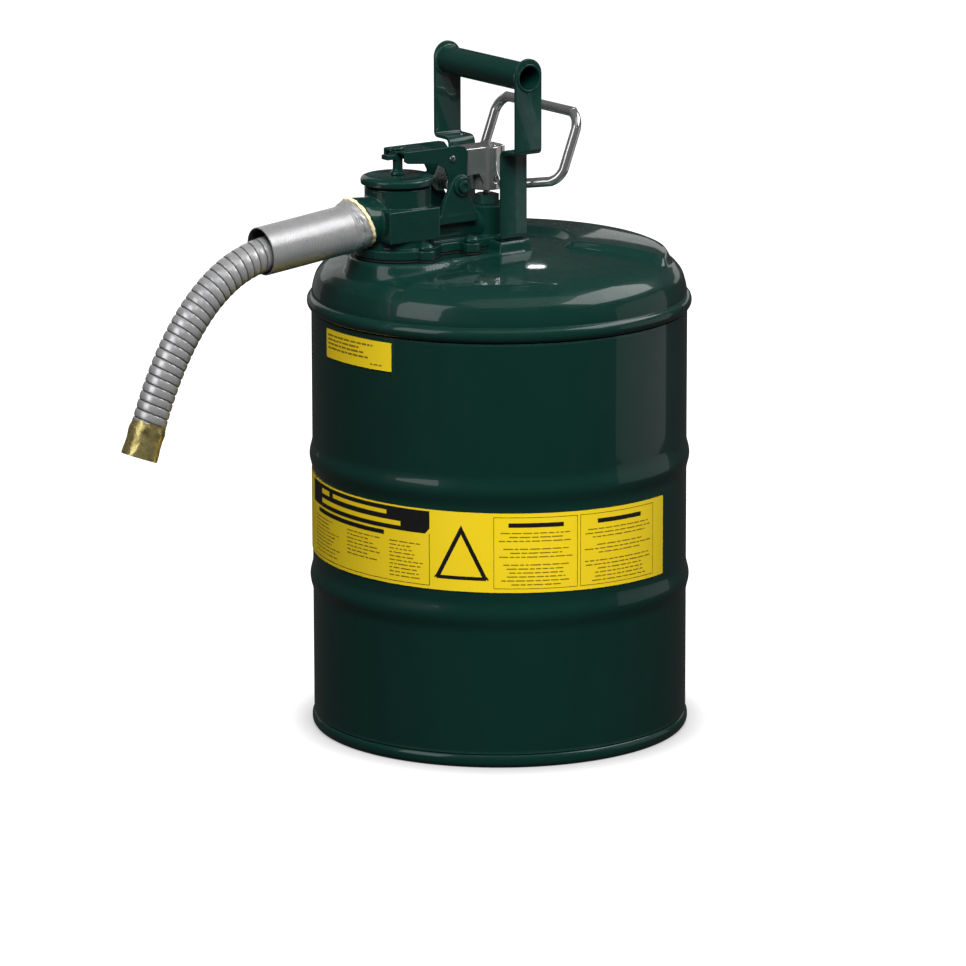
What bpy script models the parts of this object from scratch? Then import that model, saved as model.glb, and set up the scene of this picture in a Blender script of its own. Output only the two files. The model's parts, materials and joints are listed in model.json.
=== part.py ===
"""Safety gas can with a pouring manifold: steel drum, domed top, fixed carrying handle, squeeze
trigger that lifts the pouring valve, spring-closed fill cap and a flexible metal pouring hose.

Frame: metres, origin at the centre of the base, +Z up. The hose leaves towards -Y and the grip
runs along X. The trigger, its valve and the fill cap turn or slide about the axes named below.
"""

import math

import bmesh
import bpy
from mathutils import Matrix, Vector

# ---- Driving dimensions ------------------------------------------------------------------
SEGMENTS = 40
CAST_SEGMENTS = 32
SMALL_SEGMENTS = 24
HOLE_SEGMENTS = 12
GAP = 0.0003
WALL = 0.0008
ROUNDING = 1e-6

BODY_RADIUS = 0.1368
BODY_TOP = 0.3104
SEAM_HEIGHT = 0.0100
BOTTOM_SEAM_RADIUS = 0.1382
FOOT_INNER_RADIUS = 0.1318
PAN_RISE = 0.0055
HOOP_HEIGHTS = (0.1116, 0.2026)
HOOP_HALF_WIDTH = 0.0120
HOOP_BULGE = 0.0020

CHIME_RADIUS = 0.1400
CROWN_PROFILE = (  # radius, height of the dome's outer face, from the chime to the centre
    (0.1366, 0.3215),
    (0.1363, 0.3250),
    (0.1352, 0.3300),
    (0.1333, 0.3357),
    (0.1300, 0.3402),
    (0.1262, 0.3437),
    (0.1205, 0.3466),
    (0.1120, 0.3495),
    (0.0900, 0.3530),
    (0.0600, 0.3555),
    (0.0450, 0.3562),
    (0.0250, 0.3570),
)
PANEL_RISE = 0.0050
PANEL_MIDDLE = math.radians(90)
PANEL_HALF_ANGLE = math.radians(49)
PANEL_EDGE_ANGLE = math.radians(7)
PANEL_INNER_RADII = (0.046, 0.059)
PANEL_OUTER_RADII = (0.1262, 0.1205)

# Carrying handle
GRIP_Y = -0.0103
GRIP_Z = 0.4860
GRIP_RADIUS = 0.0102
GRIP_BORE = 0.0085
GRIP_HALF_LENGTH = 0.0528
STRAP_WIDTH = 0.0226
STRAP_THICKNESS = 0.0025
STRAP_UPPER_X = 0.0508
STRAP_LOWER_X = 0.0325
STRAP_JOG_Z = 0.4312
STRAP_TOP_Z = 0.4998
HANDLE_PAD_Z = 0.3655
HANDLE_PAD_X = (0.0205, 0.0350)
HANDLE_PAD_HALF_WIDTH = 0.0125
FOOT_LENGTH = 0.0080

# Manifold
FILL_Y = -0.0885
ROD_Y = -0.0110
PAD_Z = 0.3580
PAD_RADIUS = 0.0385
PAD_SKIRT_Z = 0.3440
REAR_PAD_Z = 0.3530
REAR_PAD_HALF_WIDTH = 0.0335
GASKET_THICKNESS = 0.0010
FLANGE_BASE = PAD_Z + GAP + GASKET_THICKNESS + GAP
FLANGE_TOP = FLANGE_BASE + 0.0068
FLANGE_RADIUS = 0.0310
REAR_RADIUS = 0.0185
BLOCK_HALF_WIDTH = 0.0260
BLOCK_BASE = 0.3722
BLOCK_TOP = 0.3950
SHELF_HALF_WIDTH = 0.0188
SHELF_HEIGHTS = (0.3800, 0.3862)
BARREL_RADIUS = 0.0125
BARREL_Z = 0.3745
NECK_RADIUS = 0.0240
NECK_TOP = 0.4090
NECK_BORE = 0.0192
WELL_RADIUS = 0.0222
WELL_HEIGHTS = (0.3660, 0.3915)
POUR_BORE = 0.0072
CHAMBER_RADIUS = 0.0115
CHAMBER_FLOOR = 0.3655
CHAMBER_TOP = 0.3850
REAR_TOP = 0.3880
SCREW_PLACES = ((0.0315, -0.0855), (-0.0315, -0.0855), (0.0255, -0.0420), (-0.0255, -0.0420))
SCREW_RADIUS = 0.0030
SCREW_HEAD_RADIUS = 0.0056
SCREW_HEAD_HEIGHT = 0.0044
SCREW_END_Z = 0.3475
FLANGE_EAR_RADIUS = 0.0068
DRILL_DEPTHS = (0.3400, 0.3800)

# Pivot shared by the trigger and the fill cap's arm, along X
PIVOT_Y = -0.0455
PIVOT_Z = 0.4065
PIVOT_RADIUS = 0.0030
EAR_INNER_X = 0.0145
EAR_THICKNESS = 0.0040

# Fill cap
CAP_RADIUS = 0.0270
CAP_BASE = 0.4108
CAP_THICKNESS = 0.0060
CAP_SHEET = 0.0020
CAP_GASKET_RADIUS = 0.0232
ARM_OUTER_X = 0.0137
ARM_SIDE = 0.0018
ARM_TOP = 0.4350
ARM_RIVET_Y = -0.0505
ARM_RIVET_Z = 0.4262
RIVET_RADIUS = 0.0014
RIVET_HEAD_RADIUS = 0.0026

# Trigger
LEVER_OUTER_X = 0.0095
LEVER_SHEET = 0.0015
LEVER_TOP = 0.4310
LEVER_SPRING_GAP = 0.0025
LEVER_BASE = 0.3990
HUB_RADIUS = 0.0120
LOOP_WIRE = 0.0036
LOOP_CORNER = 0.0125
LINK_RADIUS = 0.0020

# Pouring valve
ROD_RADIUS = 0.0025
DISC_RADIUS = 0.0095
VALVE_SPRING_RADIUS = 0.0062
VALVE_SPRING_TURNS = 3

# Hose: its axis leaves the manifold a little below the horizontal, and the outlet's face leans over it
OUTLET = Vector((0.0, -0.1205, 0.3835))
OUTLET_SLOPE = math.radians(6.45)
OUTLET_FACE = Vector((0.0, -0.1236, 0.3860))
OUTLET_FACE_SLOPE = math.radians(22)
OUTLET_RADIUS = 0.0186
SPOUT_BORE = 0.0128
ADAPTER_RADIUS = 0.0124
HOSE_GASKET_BORE = 0.0166
HOSE_GASKET_THICKNESS = 0.0028
HOSE_RADIUS = 0.0121
SLEEVE_RADIUS = 0.0175
SLEEVE_BORE = 0.0156
SLEEVE_SPAN = (0.0145, 0.0855)
HOSE_ROUTE = (
    (0.0, -0.1342, 0.3820),
    (0.0, -0.1500, 0.3800),
    (0.0, -0.1700, 0.3772),
    (0.0, -0.1880, 0.3743),
    (0.0, -0.2045, 0.3714),
    (0.0, -0.2165, 0.3681),
    (0.0, -0.2285, 0.3629),
    (0.0, -0.2400, 0.3555),
    (0.0, -0.2505, 0.3466),
    (0.0, -0.2600, 0.3365),
    (0.0, -0.2685, 0.3255),
    (0.0, -0.2762, 0.3137),
    (0.0, -0.2832, 0.3012),
    (0.0, -0.2896, 0.2880),
    (0.0, -0.2953, 0.2745),
    (0.0, -0.3003, 0.2612),
)
TIP_LENGTH = 0.0245
TIP_RADIUS = 0.0130
TIP_BORE = 0.0106

# Labels on the drum: angles of their ends, heights of their middle line there, half width
LABEL_THICKNESS = 0.0003
BAND_ANGLES = (math.radians(-132), math.radians(24))
BAND_MIDDLE = (0.1626, 0.1566)
BAND_HALF_WIDTH = 0.0290
PLATE_ANGLES = (math.radians(-99.5), math.radians(-69))
PLATE_MIDDLE = (0.2962, 0.2962)
PLATE_HALF_WIDTH = 0.0104

DARK_GREEN = (0.012, 0.045, 0.036)
CHROME = (0.82, 0.83, 0.84)
STEEL = (0.55, 0.56, 0.57)
BRASS = (0.52, 0.40, 0.13)
RUBBER = (0.02, 0.02, 0.02)
CREAM = (0.78, 0.68, 0.45)
YELLOW = (0.93, 0.68, 0.04)


# ---- Scene and mesh helpers --------------------------------------------------------------
def clear_scene():
    for obj in list(bpy.data.objects):
        bpy.data.objects.remove(obj, do_unlink=True)


def material(name, colour, roughness, metallic):
    made = bpy.data.materials.new(name)
    made.use_nodes = True
    shader = made.node_tree.nodes["Principled BSDF"]
    shader.inputs["Base Color"].default_value = (*colour, 1.0)
    shader.inputs["Roughness"].default_value = roughness
    shader.inputs["Metallic"].default_value = metallic
    return made


def add_object(name, bm, origin=(0, 0, 0)):
    """Makes an object of a bmesh built in world space, with its origin at the point given."""
    bmesh.ops.remove_doubles(bm, verts=bm.verts, dist=ROUNDING)
    bmesh.ops.dissolve_degenerate(bm, edges=bm.edges, dist=ROUNDING)
    bmesh.ops.recalc_face_normals(bm, faces=bm.faces)
    bmesh.ops.translate(bm, verts=bm.verts, vec=-Vector(origin))
    mesh = bpy.data.meshes.new(name)
    bm.to_mesh(mesh)
    bm.free()
    mesh.shade_smooth()
    mesh.set_sharp_from_angle(angle=math.radians(35))
    obj = bpy.data.objects.new(name, mesh)
    obj.location = origin
    bpy.context.scene.collection.objects.link(obj)
    return obj


def finish(obj, colour, roughness, metallic):
    obj.data.materials.clear()
    obj.data.materials.append(material(obj.name, colour, roughness, metallic))
    return obj


def painted(obj):
    return finish(obj, DARK_GREEN, 0.25, 0.0)


def turned_mesh(profile, segments=SEGMENTS, place=Matrix()):
    """A closed (radius, height) outline spun about Z, then moved by a matrix."""
    bm = bmesh.new()
    corners = [bm.verts.new((radius, 0, height)) for radius, height in profile]
    outline = []
    for first, second in zip(corners, corners[1:] + corners[:1]):
        if first.co.x > ROUNDING or second.co.x > ROUNDING:
            outline.append(bm.edges.new((first, second)))
    bmesh.ops.spin(bm, geom=corners + outline, cent=(0, 0, 0), axis=(0, 0, 1),
                   angle=math.tau, steps=segments)
    bmesh.ops.remove_doubles(bm, verts=bm.verts, dist=ROUNDING)
    bmesh.ops.transform(bm, matrix=place, verts=bm.verts)
    return bm


def turned(name, profile, segments=SEGMENTS, place=Matrix(), origin=(0, 0, 0)):
    return add_object(name, turned_mesh(profile, segments, place), origin)


def cylinder(name, radius, low, high, place=Matrix(), segments=SMALL_SEGMENTS, origin=(0, 0, 0)):
    bm = bmesh.new()
    corners = []
    for i in range(segments):
        angle = math.tau * i / segments
        corners.append(bm.verts.new((radius * math.cos(angle), radius * math.sin(angle), low)))
    extrude(bm, corners, (0, 0, high - low))
    bmesh.ops.transform(bm, matrix=place, verts=bm.verts)
    return add_object(name, bm, origin)


def ring(name, outer, inner, low, high, place=Matrix(), segments=SMALL_SEGMENTS, origin=(0, 0, 0)):
    profile = ((inner, low), (outer, low), (outer, high), (inner, high))
    return turned(name, profile, segments, place, origin)


def extrude(bm, corners, step):
    """Closes the outline with a face and extrudes it into a solid."""
    copied = bmesh.ops.extrude_face_region(bm, geom=[bm.faces.new(corners)])["geom"]
    bmesh.ops.translate(bm, verts=[v for v in copied if isinstance(v, bmesh.types.BMVert)], vec=step)


def prism(name, outline, low, high, along="Z", origin=(0, 0, 0)):
    """An outline extruded along Z, as (x, y) points, or along X, as (y, z) points."""
    bm = bmesh.new()
    if along == "Z":
        extrude(bm, [bm.verts.new((a, b, low)) for a, b in outline], (0, 0, high - low))
    else:
        extrude(bm, [bm.verts.new((low, a, b)) for a, b in outline], (high - low, 0, 0))
    return add_object(name, bm, origin)


def box(name, low, high, origin=(0, 0, 0)):
    outline = ((low[0], low[1]), (high[0], low[1]), (high[0], high[1]), (low[0], high[1]))
    return prism(name, outline, low[2], high[2], origin=origin)


def baked(obj):
    """Replaces the object's mesh with its modified mesh and clears its modifiers."""
    graph = bpy.context.evaluated_depsgraph_get()
    mesh = bpy.data.meshes.new_from_object(obj.evaluated_get(graph))
    obj.modifiers.clear()
    obj.data = mesh
    return obj


def combine(obj, tools, operation, solver):
    for tool in tools:
        change = obj.modifiers.new(operation, "BOOLEAN")
        change.operation = operation
        change.solver = solver
        change.object = tool
        bpy.context.view_layer.update()
        baked(obj)
        bpy.data.objects.remove(tool, do_unlink=True)
    return obj


def joined(obj, *tools, solver="EXACT"):
    return combine(obj, tools, "UNION", solver)


def cut(obj, *tools, solver="EXACT"):
    return combine(obj, tools, "DIFFERENCE", solver)


def flat_faces_merged(obj):
    """Joins the triangles that Booleans leave on one flat face."""
    bm = bmesh.new()
    bm.from_mesh(obj.data)
    bmesh.ops.dissolve_limit(bm, angle_limit=math.radians(0.2), verts=bm.verts, edges=bm.edges)
    bm.to_mesh(obj.data)
    bm.free()
    return obj


def lofted(name, circles, hollow, segments=SMALL_SEGMENTS):
    """A solid through circles, each a (matrix, radius) with its axis along the matrix's Z.

    A hollow one is a closed tube of circles, whose last circle joins its first; otherwise the
    first and last circles are closed by flat faces.
    """
    bm = bmesh.new()
    rings = []
    for place, radius in circles:
        points = []
        for i in range(segments):
            angle = math.tau * i / segments
            points.append(bm.verts.new(place @ Vector((radius * math.cos(angle), radius * math.sin(angle), 0))))
        rings.append(points)
    for first, second in zip(rings, rings[1:]):
        bridge(bm, first, second)
    if hollow:
        bridge(bm, rings[-1], rings[0])
    else:
        bm.faces.new(rings[0])
        bm.faces.new(rings[-1])
    return add_object(name, bm)


def bridge(bm, first, second):
    for j in range(len(first)):
        k = (j + 1) % len(first)
        bm.faces.new((first[j], first[k], second[k], second[j]))


def wire(name, points, radius, cyclic=False, resolution=2, origin=(0, 0, 0)):
    """A round wire or hose along points, as a curve with a bevel and filled caps."""
    curve = bpy.data.curves.new(name, "CURVE")
    curve.dimensions = "3D"
    curve.bevel_depth = radius
    curve.bevel_resolution = resolution
    curve.use_fill_caps = not cyclic
    spline = curve.splines.new("POLY")
    spline.points.add(len(points) - 1)
    for target, point in zip(spline.points, points):
        target.co = (*(Vector(point) - Vector(origin)), 1.0)
    spline.use_cyclic_u = cyclic
    spline.use_smooth = True
    obj = bpy.data.objects.new(name, curve)
    obj.location = origin
    bpy.context.scene.collection.objects.link(obj)
    return obj


def coil(centre, radius, low, high, turns, per_turn=12, axis="Z"):
    """The points of a helix about Z or X."""
    points = []
    count = turns * per_turn
    for i in range(count + 1):
        angle = math.tau * i / per_turn
        along = low + (high - low) * i / count
        across = (radius * math.cos(angle), radius * math.sin(angle))
        if axis == "Z":
            points.append((centre[0] + across[0], centre[1] + across[1], along))
        else:
            points.append((along, centre[0] + across[0], centre[1] + across[1]))
    return points


def rounded_path(corners, radius, steps=5):
    """An open path whose inner corners become arcs of the radius given."""
    path = [Vector(corners[0])]
    for before, corner, after in zip(corners, corners[1:], corners[2:]):
        corner = Vector(corner)
        into = (Vector(before) - corner).normalized()
        out = (Vector(after) - corner).normalized()
        half = into.angle(out) / 2
        reach = radius / math.tan(half)
        centre = corner + (into + out).normalized() * radius / math.sin(half)
        first = (corner + into * reach - centre).normalized()
        last = (corner + out * reach - centre).normalized()
        for i in range(steps + 1):
            path.append(centre + first.slerp(last, i / steps) * radius)
    path.append(Vector(corners[-1]))
    return path


def smooth_route(points, spacing):
    """Points at an even spacing along a smooth curve through the route's own points."""
    route = [Vector(p) for p in points]
    ends = [2 * route[0] - route[1]] + route + [2 * route[-1] - route[-2]]
    fine = []
    for a, b, c, d in zip(ends, ends[1:], ends[2:], ends[3:]):
        for i in range(12):
            t = i / 12
            fine.append(0.5 * (2 * b + (c - a) * t + (2 * a - 5 * b + 4 * c - d) * t**2
                               + (3 * b - a - 3 * c + d) * t**3))
    fine.append(route[-1])
    total = sum((b - a).length for a, b in zip(fine, fine[1:]))
    count = round(total / spacing)
    step = total / count
    placed, travelled, target = [fine[0]], 0.0, step
    for a, b in zip(fine, fine[1:]):
        length = (b - a).length
        while target <= travelled + length and len(placed) < count:
            placed.append(a.lerp(b, (target - travelled) / length))
            target += step
        travelled += length
    return placed + [route[-1]]


def along_x(y, z):
    """Puts a shape turned about Z on an axis that runs along X."""
    return Matrix.Translation((0, y, z)) @ Matrix.Rotation(math.radians(90), 4, "Y")


def outlet_place(along=0.0):
    """Puts a shape turned about Z on the hose's axis, with +Z outwards."""
    place = Matrix.Translation(OUTLET) @ Matrix.Rotation(math.radians(90) + OUTLET_SLOPE, 4, "X")
    return place @ Matrix.Translation((0, 0, along))


def outlet_face_place(along=0.0):
    """Puts a shape turned about Z square to the outlet's leaning face, with +Z outwards."""
    place = Matrix.Translation(OUTLET_FACE) @ Matrix.Rotation(math.radians(90) + OUTLET_FACE_SLOPE, 4, "X")
    return place @ Matrix.Translation((0, 0, along))


def upright(x, y):
    return Matrix.Translation((x, y, 0))


# ---- Drum --------------------------------------------------------------------------------
def hoop_points():
    """Outer profile points of the two rolled hoops, from the bottom up."""
    points = []
    for height in HOOP_HEIGHTS:
        for i in range(5):
            share = -1 + i / 2
            rise = HOOP_BULGE * math.cos(share * math.pi / 2) ** 2
            points.append((BODY_RADIUS + rise, height + share * HOOP_HALF_WIDTH))
    return points


def body_shell():
    outer = [(BODY_RADIUS, SEAM_HEIGHT + GAP)] + hoop_points() + [(BODY_RADIUS, BODY_TOP)]
    inner = [(radius - WALL, height) for radius, height in reversed(outer)]
    return painted(turned("body_shell", outer + inner))


def bottom_pan():
    seam = [
        (FOOT_INNER_RADIUS, 0.0),
        (BOTTOM_SEAM_RADIUS - 0.0022, 0.0),
        (BOTTOM_SEAM_RADIUS, 0.0024),
        (BOTTOM_SEAM_RADIUS, SEAM_HEIGHT - 0.0016),
        (BODY_RADIUS, SEAM_HEIGHT),
        (FOOT_INNER_RADIUS + 0.0022, SEAM_HEIGHT),
    ]
    dish = [
        (FOOT_INNER_RADIUS, PAN_RISE + WALL),
        (0.0, PAN_RISE + WALL),
        (0.0, PAN_RISE),
        (FOOT_INNER_RADIUS - 0.0012, PAN_RISE),
    ]
    return painted(turned("bottom_pan", seam + dish))


def panel_share(radius, angle):
    """How far the stamped rear panel is raised here, from 0 to 1."""
    off = abs(math.remainder(angle - PANEL_MIDDLE, math.tau))
    sideways = (PANEL_HALF_ANGLE + PANEL_EDGE_ANGLE / 2 - off) / PANEL_EDGE_ANGLE
    inner, inner_full = PANEL_INNER_RADII
    outer, outer_full = PANEL_OUTER_RADII
    inwards = (radius - inner) / (inner_full - inner)
    outwards = (outer - radius) / (outer - outer_full)
    return max(0.0, min(1.0, sideways)) * max(0.0, min(1.0, inwards)) * max(0.0, min(1.0, outwards))


def crown_grid(bm, profile):
    """One closed face of the crown: a ring of points for each profile point, and the centre."""
    rings = []
    for radius, height in profile:
        points = []
        for j in range(SEGMENTS):
            angle = math.tau * j / SEGMENTS
            lift = PANEL_RISE * panel_share(radius, angle)
            points.append(bm.verts.new((radius * math.cos(angle), radius * math.sin(angle), height + lift)))
        rings.append(points)
    for outer, inner in zip(rings, rings[1:]):
        for j in range(SEGMENTS):
            k = (j + 1) % SEGMENTS
            bm.faces.new((outer[j], outer[k], inner[k], inner[j]))
    middle = bm.verts.new((0, 0, profile[-1][1]))
    for j in range(SEGMENTS):
        bm.faces.new((rings[-1][j], rings[-1][(j + 1) % SEGMENTS], middle))
    return rings[0]


def crown_shell():
    """The dome with its seam ring, as one sheet of the wall's thickness."""
    bm = bmesh.new()
    seam = (
        (0.1384, 0.3207),
        (0.1396, 0.3188),
        (CHIME_RADIUS, 0.3160),
        (0.1393, 0.3128),
        (0.1380, BODY_TOP + GAP + 0.0008),
        (BODY_RADIUS, BODY_TOP + GAP),
        (BODY_RADIUS - WALL, BODY_TOP + GAP),
    )
    under = [(radius - WALL, height - WALL * 0.6) for radius, height in CROWN_PROFILE[:5]]
    under += [(radius - WALL * 0.6, height - WALL) for radius, height in CROWN_PROFILE[5:]]
    top_edge = crown_grid(bm, CROWN_PROFILE)
    under_edge = crown_grid(bm, under)
    previous = top_edge
    for radius, height in seam:
        points = []
        for j in range(SEGMENTS):
            angle = math.tau * j / SEGMENTS
            points.append(bm.verts.new((radius * math.cos(angle), radius * math.sin(angle), height)))
        bridge(bm, previous, points)
        previous = points
    bridge(bm, previous, under_edge)
    return add_object("top_dome", bm)


def top_dome():
    """The stamped dome: seam ring, raised rear panel, pads for the manifold and the handle."""
    dome = crown_shell()
    skirt = (
        (0, PAD_Z - WALL),
        (PAD_RADIUS - WALL, PAD_Z - WALL),
        (PAD_RADIUS + 0.0020 - WALL, PAD_SKIRT_Z),
        (PAD_RADIUS + 0.0020, PAD_SKIRT_Z),
        (PAD_RADIUS, PAD_Z),
        (0, PAD_Z),
    )
    pad = turned("pad", skirt, CAST_SEGMENTS, upright(0, FILL_Y + 0.0040))
    rear = box("rear", (-REAR_PAD_HALF_WIDTH, FILL_Y, REAR_PAD_Z), (REAR_PAD_HALF_WIDTH, ROD_Y + 0.0180, PAD_Z - GAP / 2))
    dome = joined(dome, pad, rear)
    for side in (-1, 1):
        x_low, x_high = sorted(side * x for x in HANDLE_PAD_X)
        foot = box("foot", (x_low, GRIP_Y - HANDLE_PAD_HALF_WIDTH, REAR_PAD_Z),
                   (x_high, GRIP_Y + HANDLE_PAD_HALF_WIDTH, HANDLE_PAD_Z))
        dome = joined(dome, foot)
    low, high = DRILL_DEPTHS
    fill = cylinder("fill", NECK_BORE + 0.0012, low, high, upright(0, FILL_Y))
    pour = cylinder("pour", POUR_BORE + 0.0020, low, high, upright(0, ROD_Y))
    dome = cut(dome, fill, pour)
    for x, y in SCREW_PLACES:
        dome = cut(dome, cylinder("hole", SCREW_RADIUS + GAP, low, high, upright(x, y), HOLE_SEGMENTS))
    return painted(flat_faces_merged(dome))


# ---- Handle ------------------------------------------------------------------------------
def strap_outline(side):
    """The bent bar's section in (x, z), from its inward foot up to its top."""
    half = STRAP_THICKNESS / 2
    base = HANDLE_PAD_Z + GAP
    inner, outer = STRAP_LOWER_X - half, STRAP_LOWER_X + half
    wide = STRAP_UPPER_X + half
    narrow = STRAP_UPPER_X - half
    jog = STRAP_JOG_Z
    points = (
        (inner - FOOT_LENGTH, base),
        (outer - 0.0012, base),
        (outer, base + 0.0012),
        (outer, jog - 0.0060),
        (outer + 0.0018, jog - half - 0.0008),
        (outer + 0.0034, jog - half),
        (wide - 0.0024, jog - half),
        (wide - 0.0006, jog - 0.0006),
        (wide, jog + 0.0020),
        (wide, STRAP_TOP_Z),
        (narrow, STRAP_TOP_Z),
        (narrow, jog + half + 0.0012),
        (narrow - 0.0010, jog + half),
        (inner + 0.0040, jog + half),
        (inner + 0.0012, jog - 0.0002),
        (inner, jog - 0.0040),
        (inner, base + STRAP_THICKNESS),
        (inner - FOOT_LENGTH, base + STRAP_THICKNESS),
    )
    return [(side * x, z) for x, z in points]


def handle_strap(name, side):
    """A flat bar bent outwards at its jog, with a foot on the dome and a round top at the grip."""
    bm = bmesh.new()
    low, high = GRIP_Y - STRAP_WIDTH / 2, GRIP_Y + STRAP_WIDTH / 2
    extrude(bm, [bm.verts.new((x, low, z)) for x, z in strap_outline(side)], (0, high - low, 0))
    strap = add_object(name, bm)
    reach = sorted((side * (STRAP_UPPER_X - 0.0050), side * (STRAP_UPPER_X + 0.0050)))
    round_z = STRAP_TOP_Z - STRAP_WIDTH / 2
    above = STRAP_TOP_Z + 0.0100
    corners = ((low - 0.0100, round_z), (high + 0.0100, round_z), (high + 0.0100, above), (low - 0.0100, above))
    trim = prism("trim", corners, *reach, along="X")
    keep = cylinder("keep", STRAP_WIDTH / 2 + ROUNDING, *reach, along_x(GRIP_Y, round_z), SEGMENTS)
    trim = cut(trim, keep)
    bore = cylinder("bore", GRIP_RADIUS + GAP, *reach, along_x(GRIP_Y, GRIP_Z), SEGMENTS)
    return painted(cut(strap, trim, bore))


def grip_tube():
    return painted(ring("grip_tube", GRIP_RADIUS, GRIP_BORE, -GRIP_HALF_LENGTH, GRIP_HALF_LENGTH,
                        along_x(GRIP_Y, GRIP_Z), SEGMENTS))


# ---- Manifold ----------------------------------------------------------------------------
def flange_plate(name, low, high, grow=0.0):
    plate = cylinder(name, FLANGE_RADIUS + grow, low, high, upright(0, FILL_Y), CAST_SEGMENTS)
    bar = box("bar", (-REAR_RADIUS, FILL_Y, low), (REAR_RADIUS, ROD_Y, high))
    end = cylinder("end", REAR_RADIUS + grow, low, high, upright(0, ROD_Y))
    reach, middle = SCREW_PLACES[2]
    half = FLANGE_EAR_RADIUS - 0.0008
    cross = box("cross", (-reach, middle - half, low), (reach, middle + half, high))
    plate = joined(plate, bar, end, cross)
    for x, y in SCREW_PLACES:
        plate = joined(plate, cylinder("ear", FLANGE_EAR_RADIUS, low, high, upright(x, y), 16))
    return plate


def pierce_screws(obj, radius):
    for x, y in SCREW_PLACES:
        hole = cylinder("hole", radius, *DRILL_DEPTHS, upright(x, y), HOLE_SEGMENTS)
        obj = cut(obj, hole, solver="MANIFOLD")
    return obj


def manifold_gasket():
    low = PAD_Z + GAP
    gasket = flange_plate("manifold_gasket", low, low + GASKET_THICKNESS)
    gasket = cut(gasket, cylinder("fill", NECK_BORE, *DRILL_DEPTHS, upright(0, FILL_Y)),
                 cylinder("pour", POUR_BORE + 0.0008, *DRILL_DEPTHS, upright(0, ROD_Y)))
    gasket = flat_faces_merged(pierce_screws(gasket, SCREW_RADIUS + GAP))
    return finish(gasket, RUBBER, 0.8, 0.0)


def ear_outline():
    """One pivot ear, in (y, z), from its foot round the pivot boss."""
    points = [(PIVOT_Y - 0.0190, 0.3840), (PIVOT_Y - 0.0150, 0.3960)]
    for i in range(9):
        angle = math.radians(160 - 25 * i)
        points.append((PIVOT_Y + 0.0085 * math.cos(angle), PIVOT_Z + 0.0085 * math.sin(angle)))
    points.append((PIVOT_Y + 0.0150, 0.3840))
    return points


def manifold_casting():
    """The cast manifold: fill neck, hose outlet, valve chamber, flange and two pivot ears."""
    casting = flange_plate("manifold_casting", FLANGE_BASE, FLANGE_TOP)
    core = cylinder("core", BLOCK_HALF_WIDTH - 0.0004, FLANGE_BASE + 0.0010, BLOCK_TOP - 0.0006,
                    upright(0, FILL_Y), CAST_SEGMENTS)
    block = box("block", (-BLOCK_HALF_WIDTH, FILL_Y - 0.0240, BLOCK_BASE),
                (BLOCK_HALF_WIDTH, FILL_Y + 0.0190, BLOCK_TOP))
    neck = cylinder("neck", NECK_RADIUS, BLOCK_TOP - 0.004, NECK_TOP, upright(0, FILL_Y), SEGMENTS)
    shelf = box("shelf", (-SHELF_HALF_WIDTH, FILL_Y + 0.0150, SHELF_HEIGHTS[0]),
                (SHELF_HALF_WIDTH, PIVOT_Y + 0.0150, SHELF_HEIGHTS[1]))
    backwards = Matrix.Translation((0, 0, BARREL_Z)) @ Matrix.Rotation(math.radians(-90), 4, "X")
    barrel = cylinder("barrel", BARREL_RADIUS, FILL_Y, ROD_Y, backwards, CAST_SEGMENTS)
    chamber = cylinder("chamber", 0.0160, FLANGE_BASE + 0.0015, REAR_TOP, upright(0, ROD_Y))
    outlet_root = Matrix.Translation((0, FILL_Y - 0.0120, OUTLET.z)) @ Matrix.Rotation(math.radians(90), 4, "X")
    outlet = lofted("outlet", ((outlet_root, OUTLET_RADIUS), (outlet_face_place(-0.0022), OUTLET_RADIUS)), False,
                    CAST_SEGMENTS)
    casting = joined(casting, core, block, neck, shelf, barrel, chamber, outlet)
    for side in (-1, 1):
        reach = sorted((side * EAR_INNER_X, side * (EAR_INNER_X + EAR_THICKNESS)))
        casting = joined(casting, prism("ear", ear_outline(), *reach, along="X"))
    low, high = WELL_HEIGHTS
    well = turned("well", ((0, low), (WELL_RADIUS, low), (WELL_RADIUS, high), (0, high)), SMALL_SEGMENTS,
                  upright(0, FILL_Y))
    fill = cylinder("fill", NECK_BORE, DRILL_DEPTHS[0], NECK_TOP + 0.01, upright(0, FILL_Y), SEGMENTS)
    hollow = cylinder("hollow", CHAMBER_RADIUS, CHAMBER_FLOOR, CHAMBER_TOP, upright(0, ROD_Y))
    seat = cylinder("seat", POUR_BORE, DRILL_DEPTHS[0], CHAMBER_FLOOR + 0.001, upright(0, ROD_Y))
    rod_bore = cylinder("rod_bore", ROD_RADIUS + GAP, CHAMBER_TOP - 0.002, REAR_TOP + 0.002, upright(0, ROD_Y))
    passage = box("passage", (-0.0060, FILL_Y + 0.0190, low + 0.0020), (0.0060, ROD_Y, CHAMBER_TOP - 0.0040))
    spout = cylinder("spout", SPOUT_BORE, -0.0260, 0.0100, outlet_place())
    pin = cylinder("pin", PIVOT_RADIUS + GAP, -0.03, 0.03, along_x(PIVOT_Y, PIVOT_Z))
    casting = cut(casting, fill, well, seat, rod_bore, hollow, passage, spout, pin, solver="MANIFOLD")
    return painted(flat_faces_merged(pierce_screws(casting, SCREW_RADIUS + GAP)))


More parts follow.
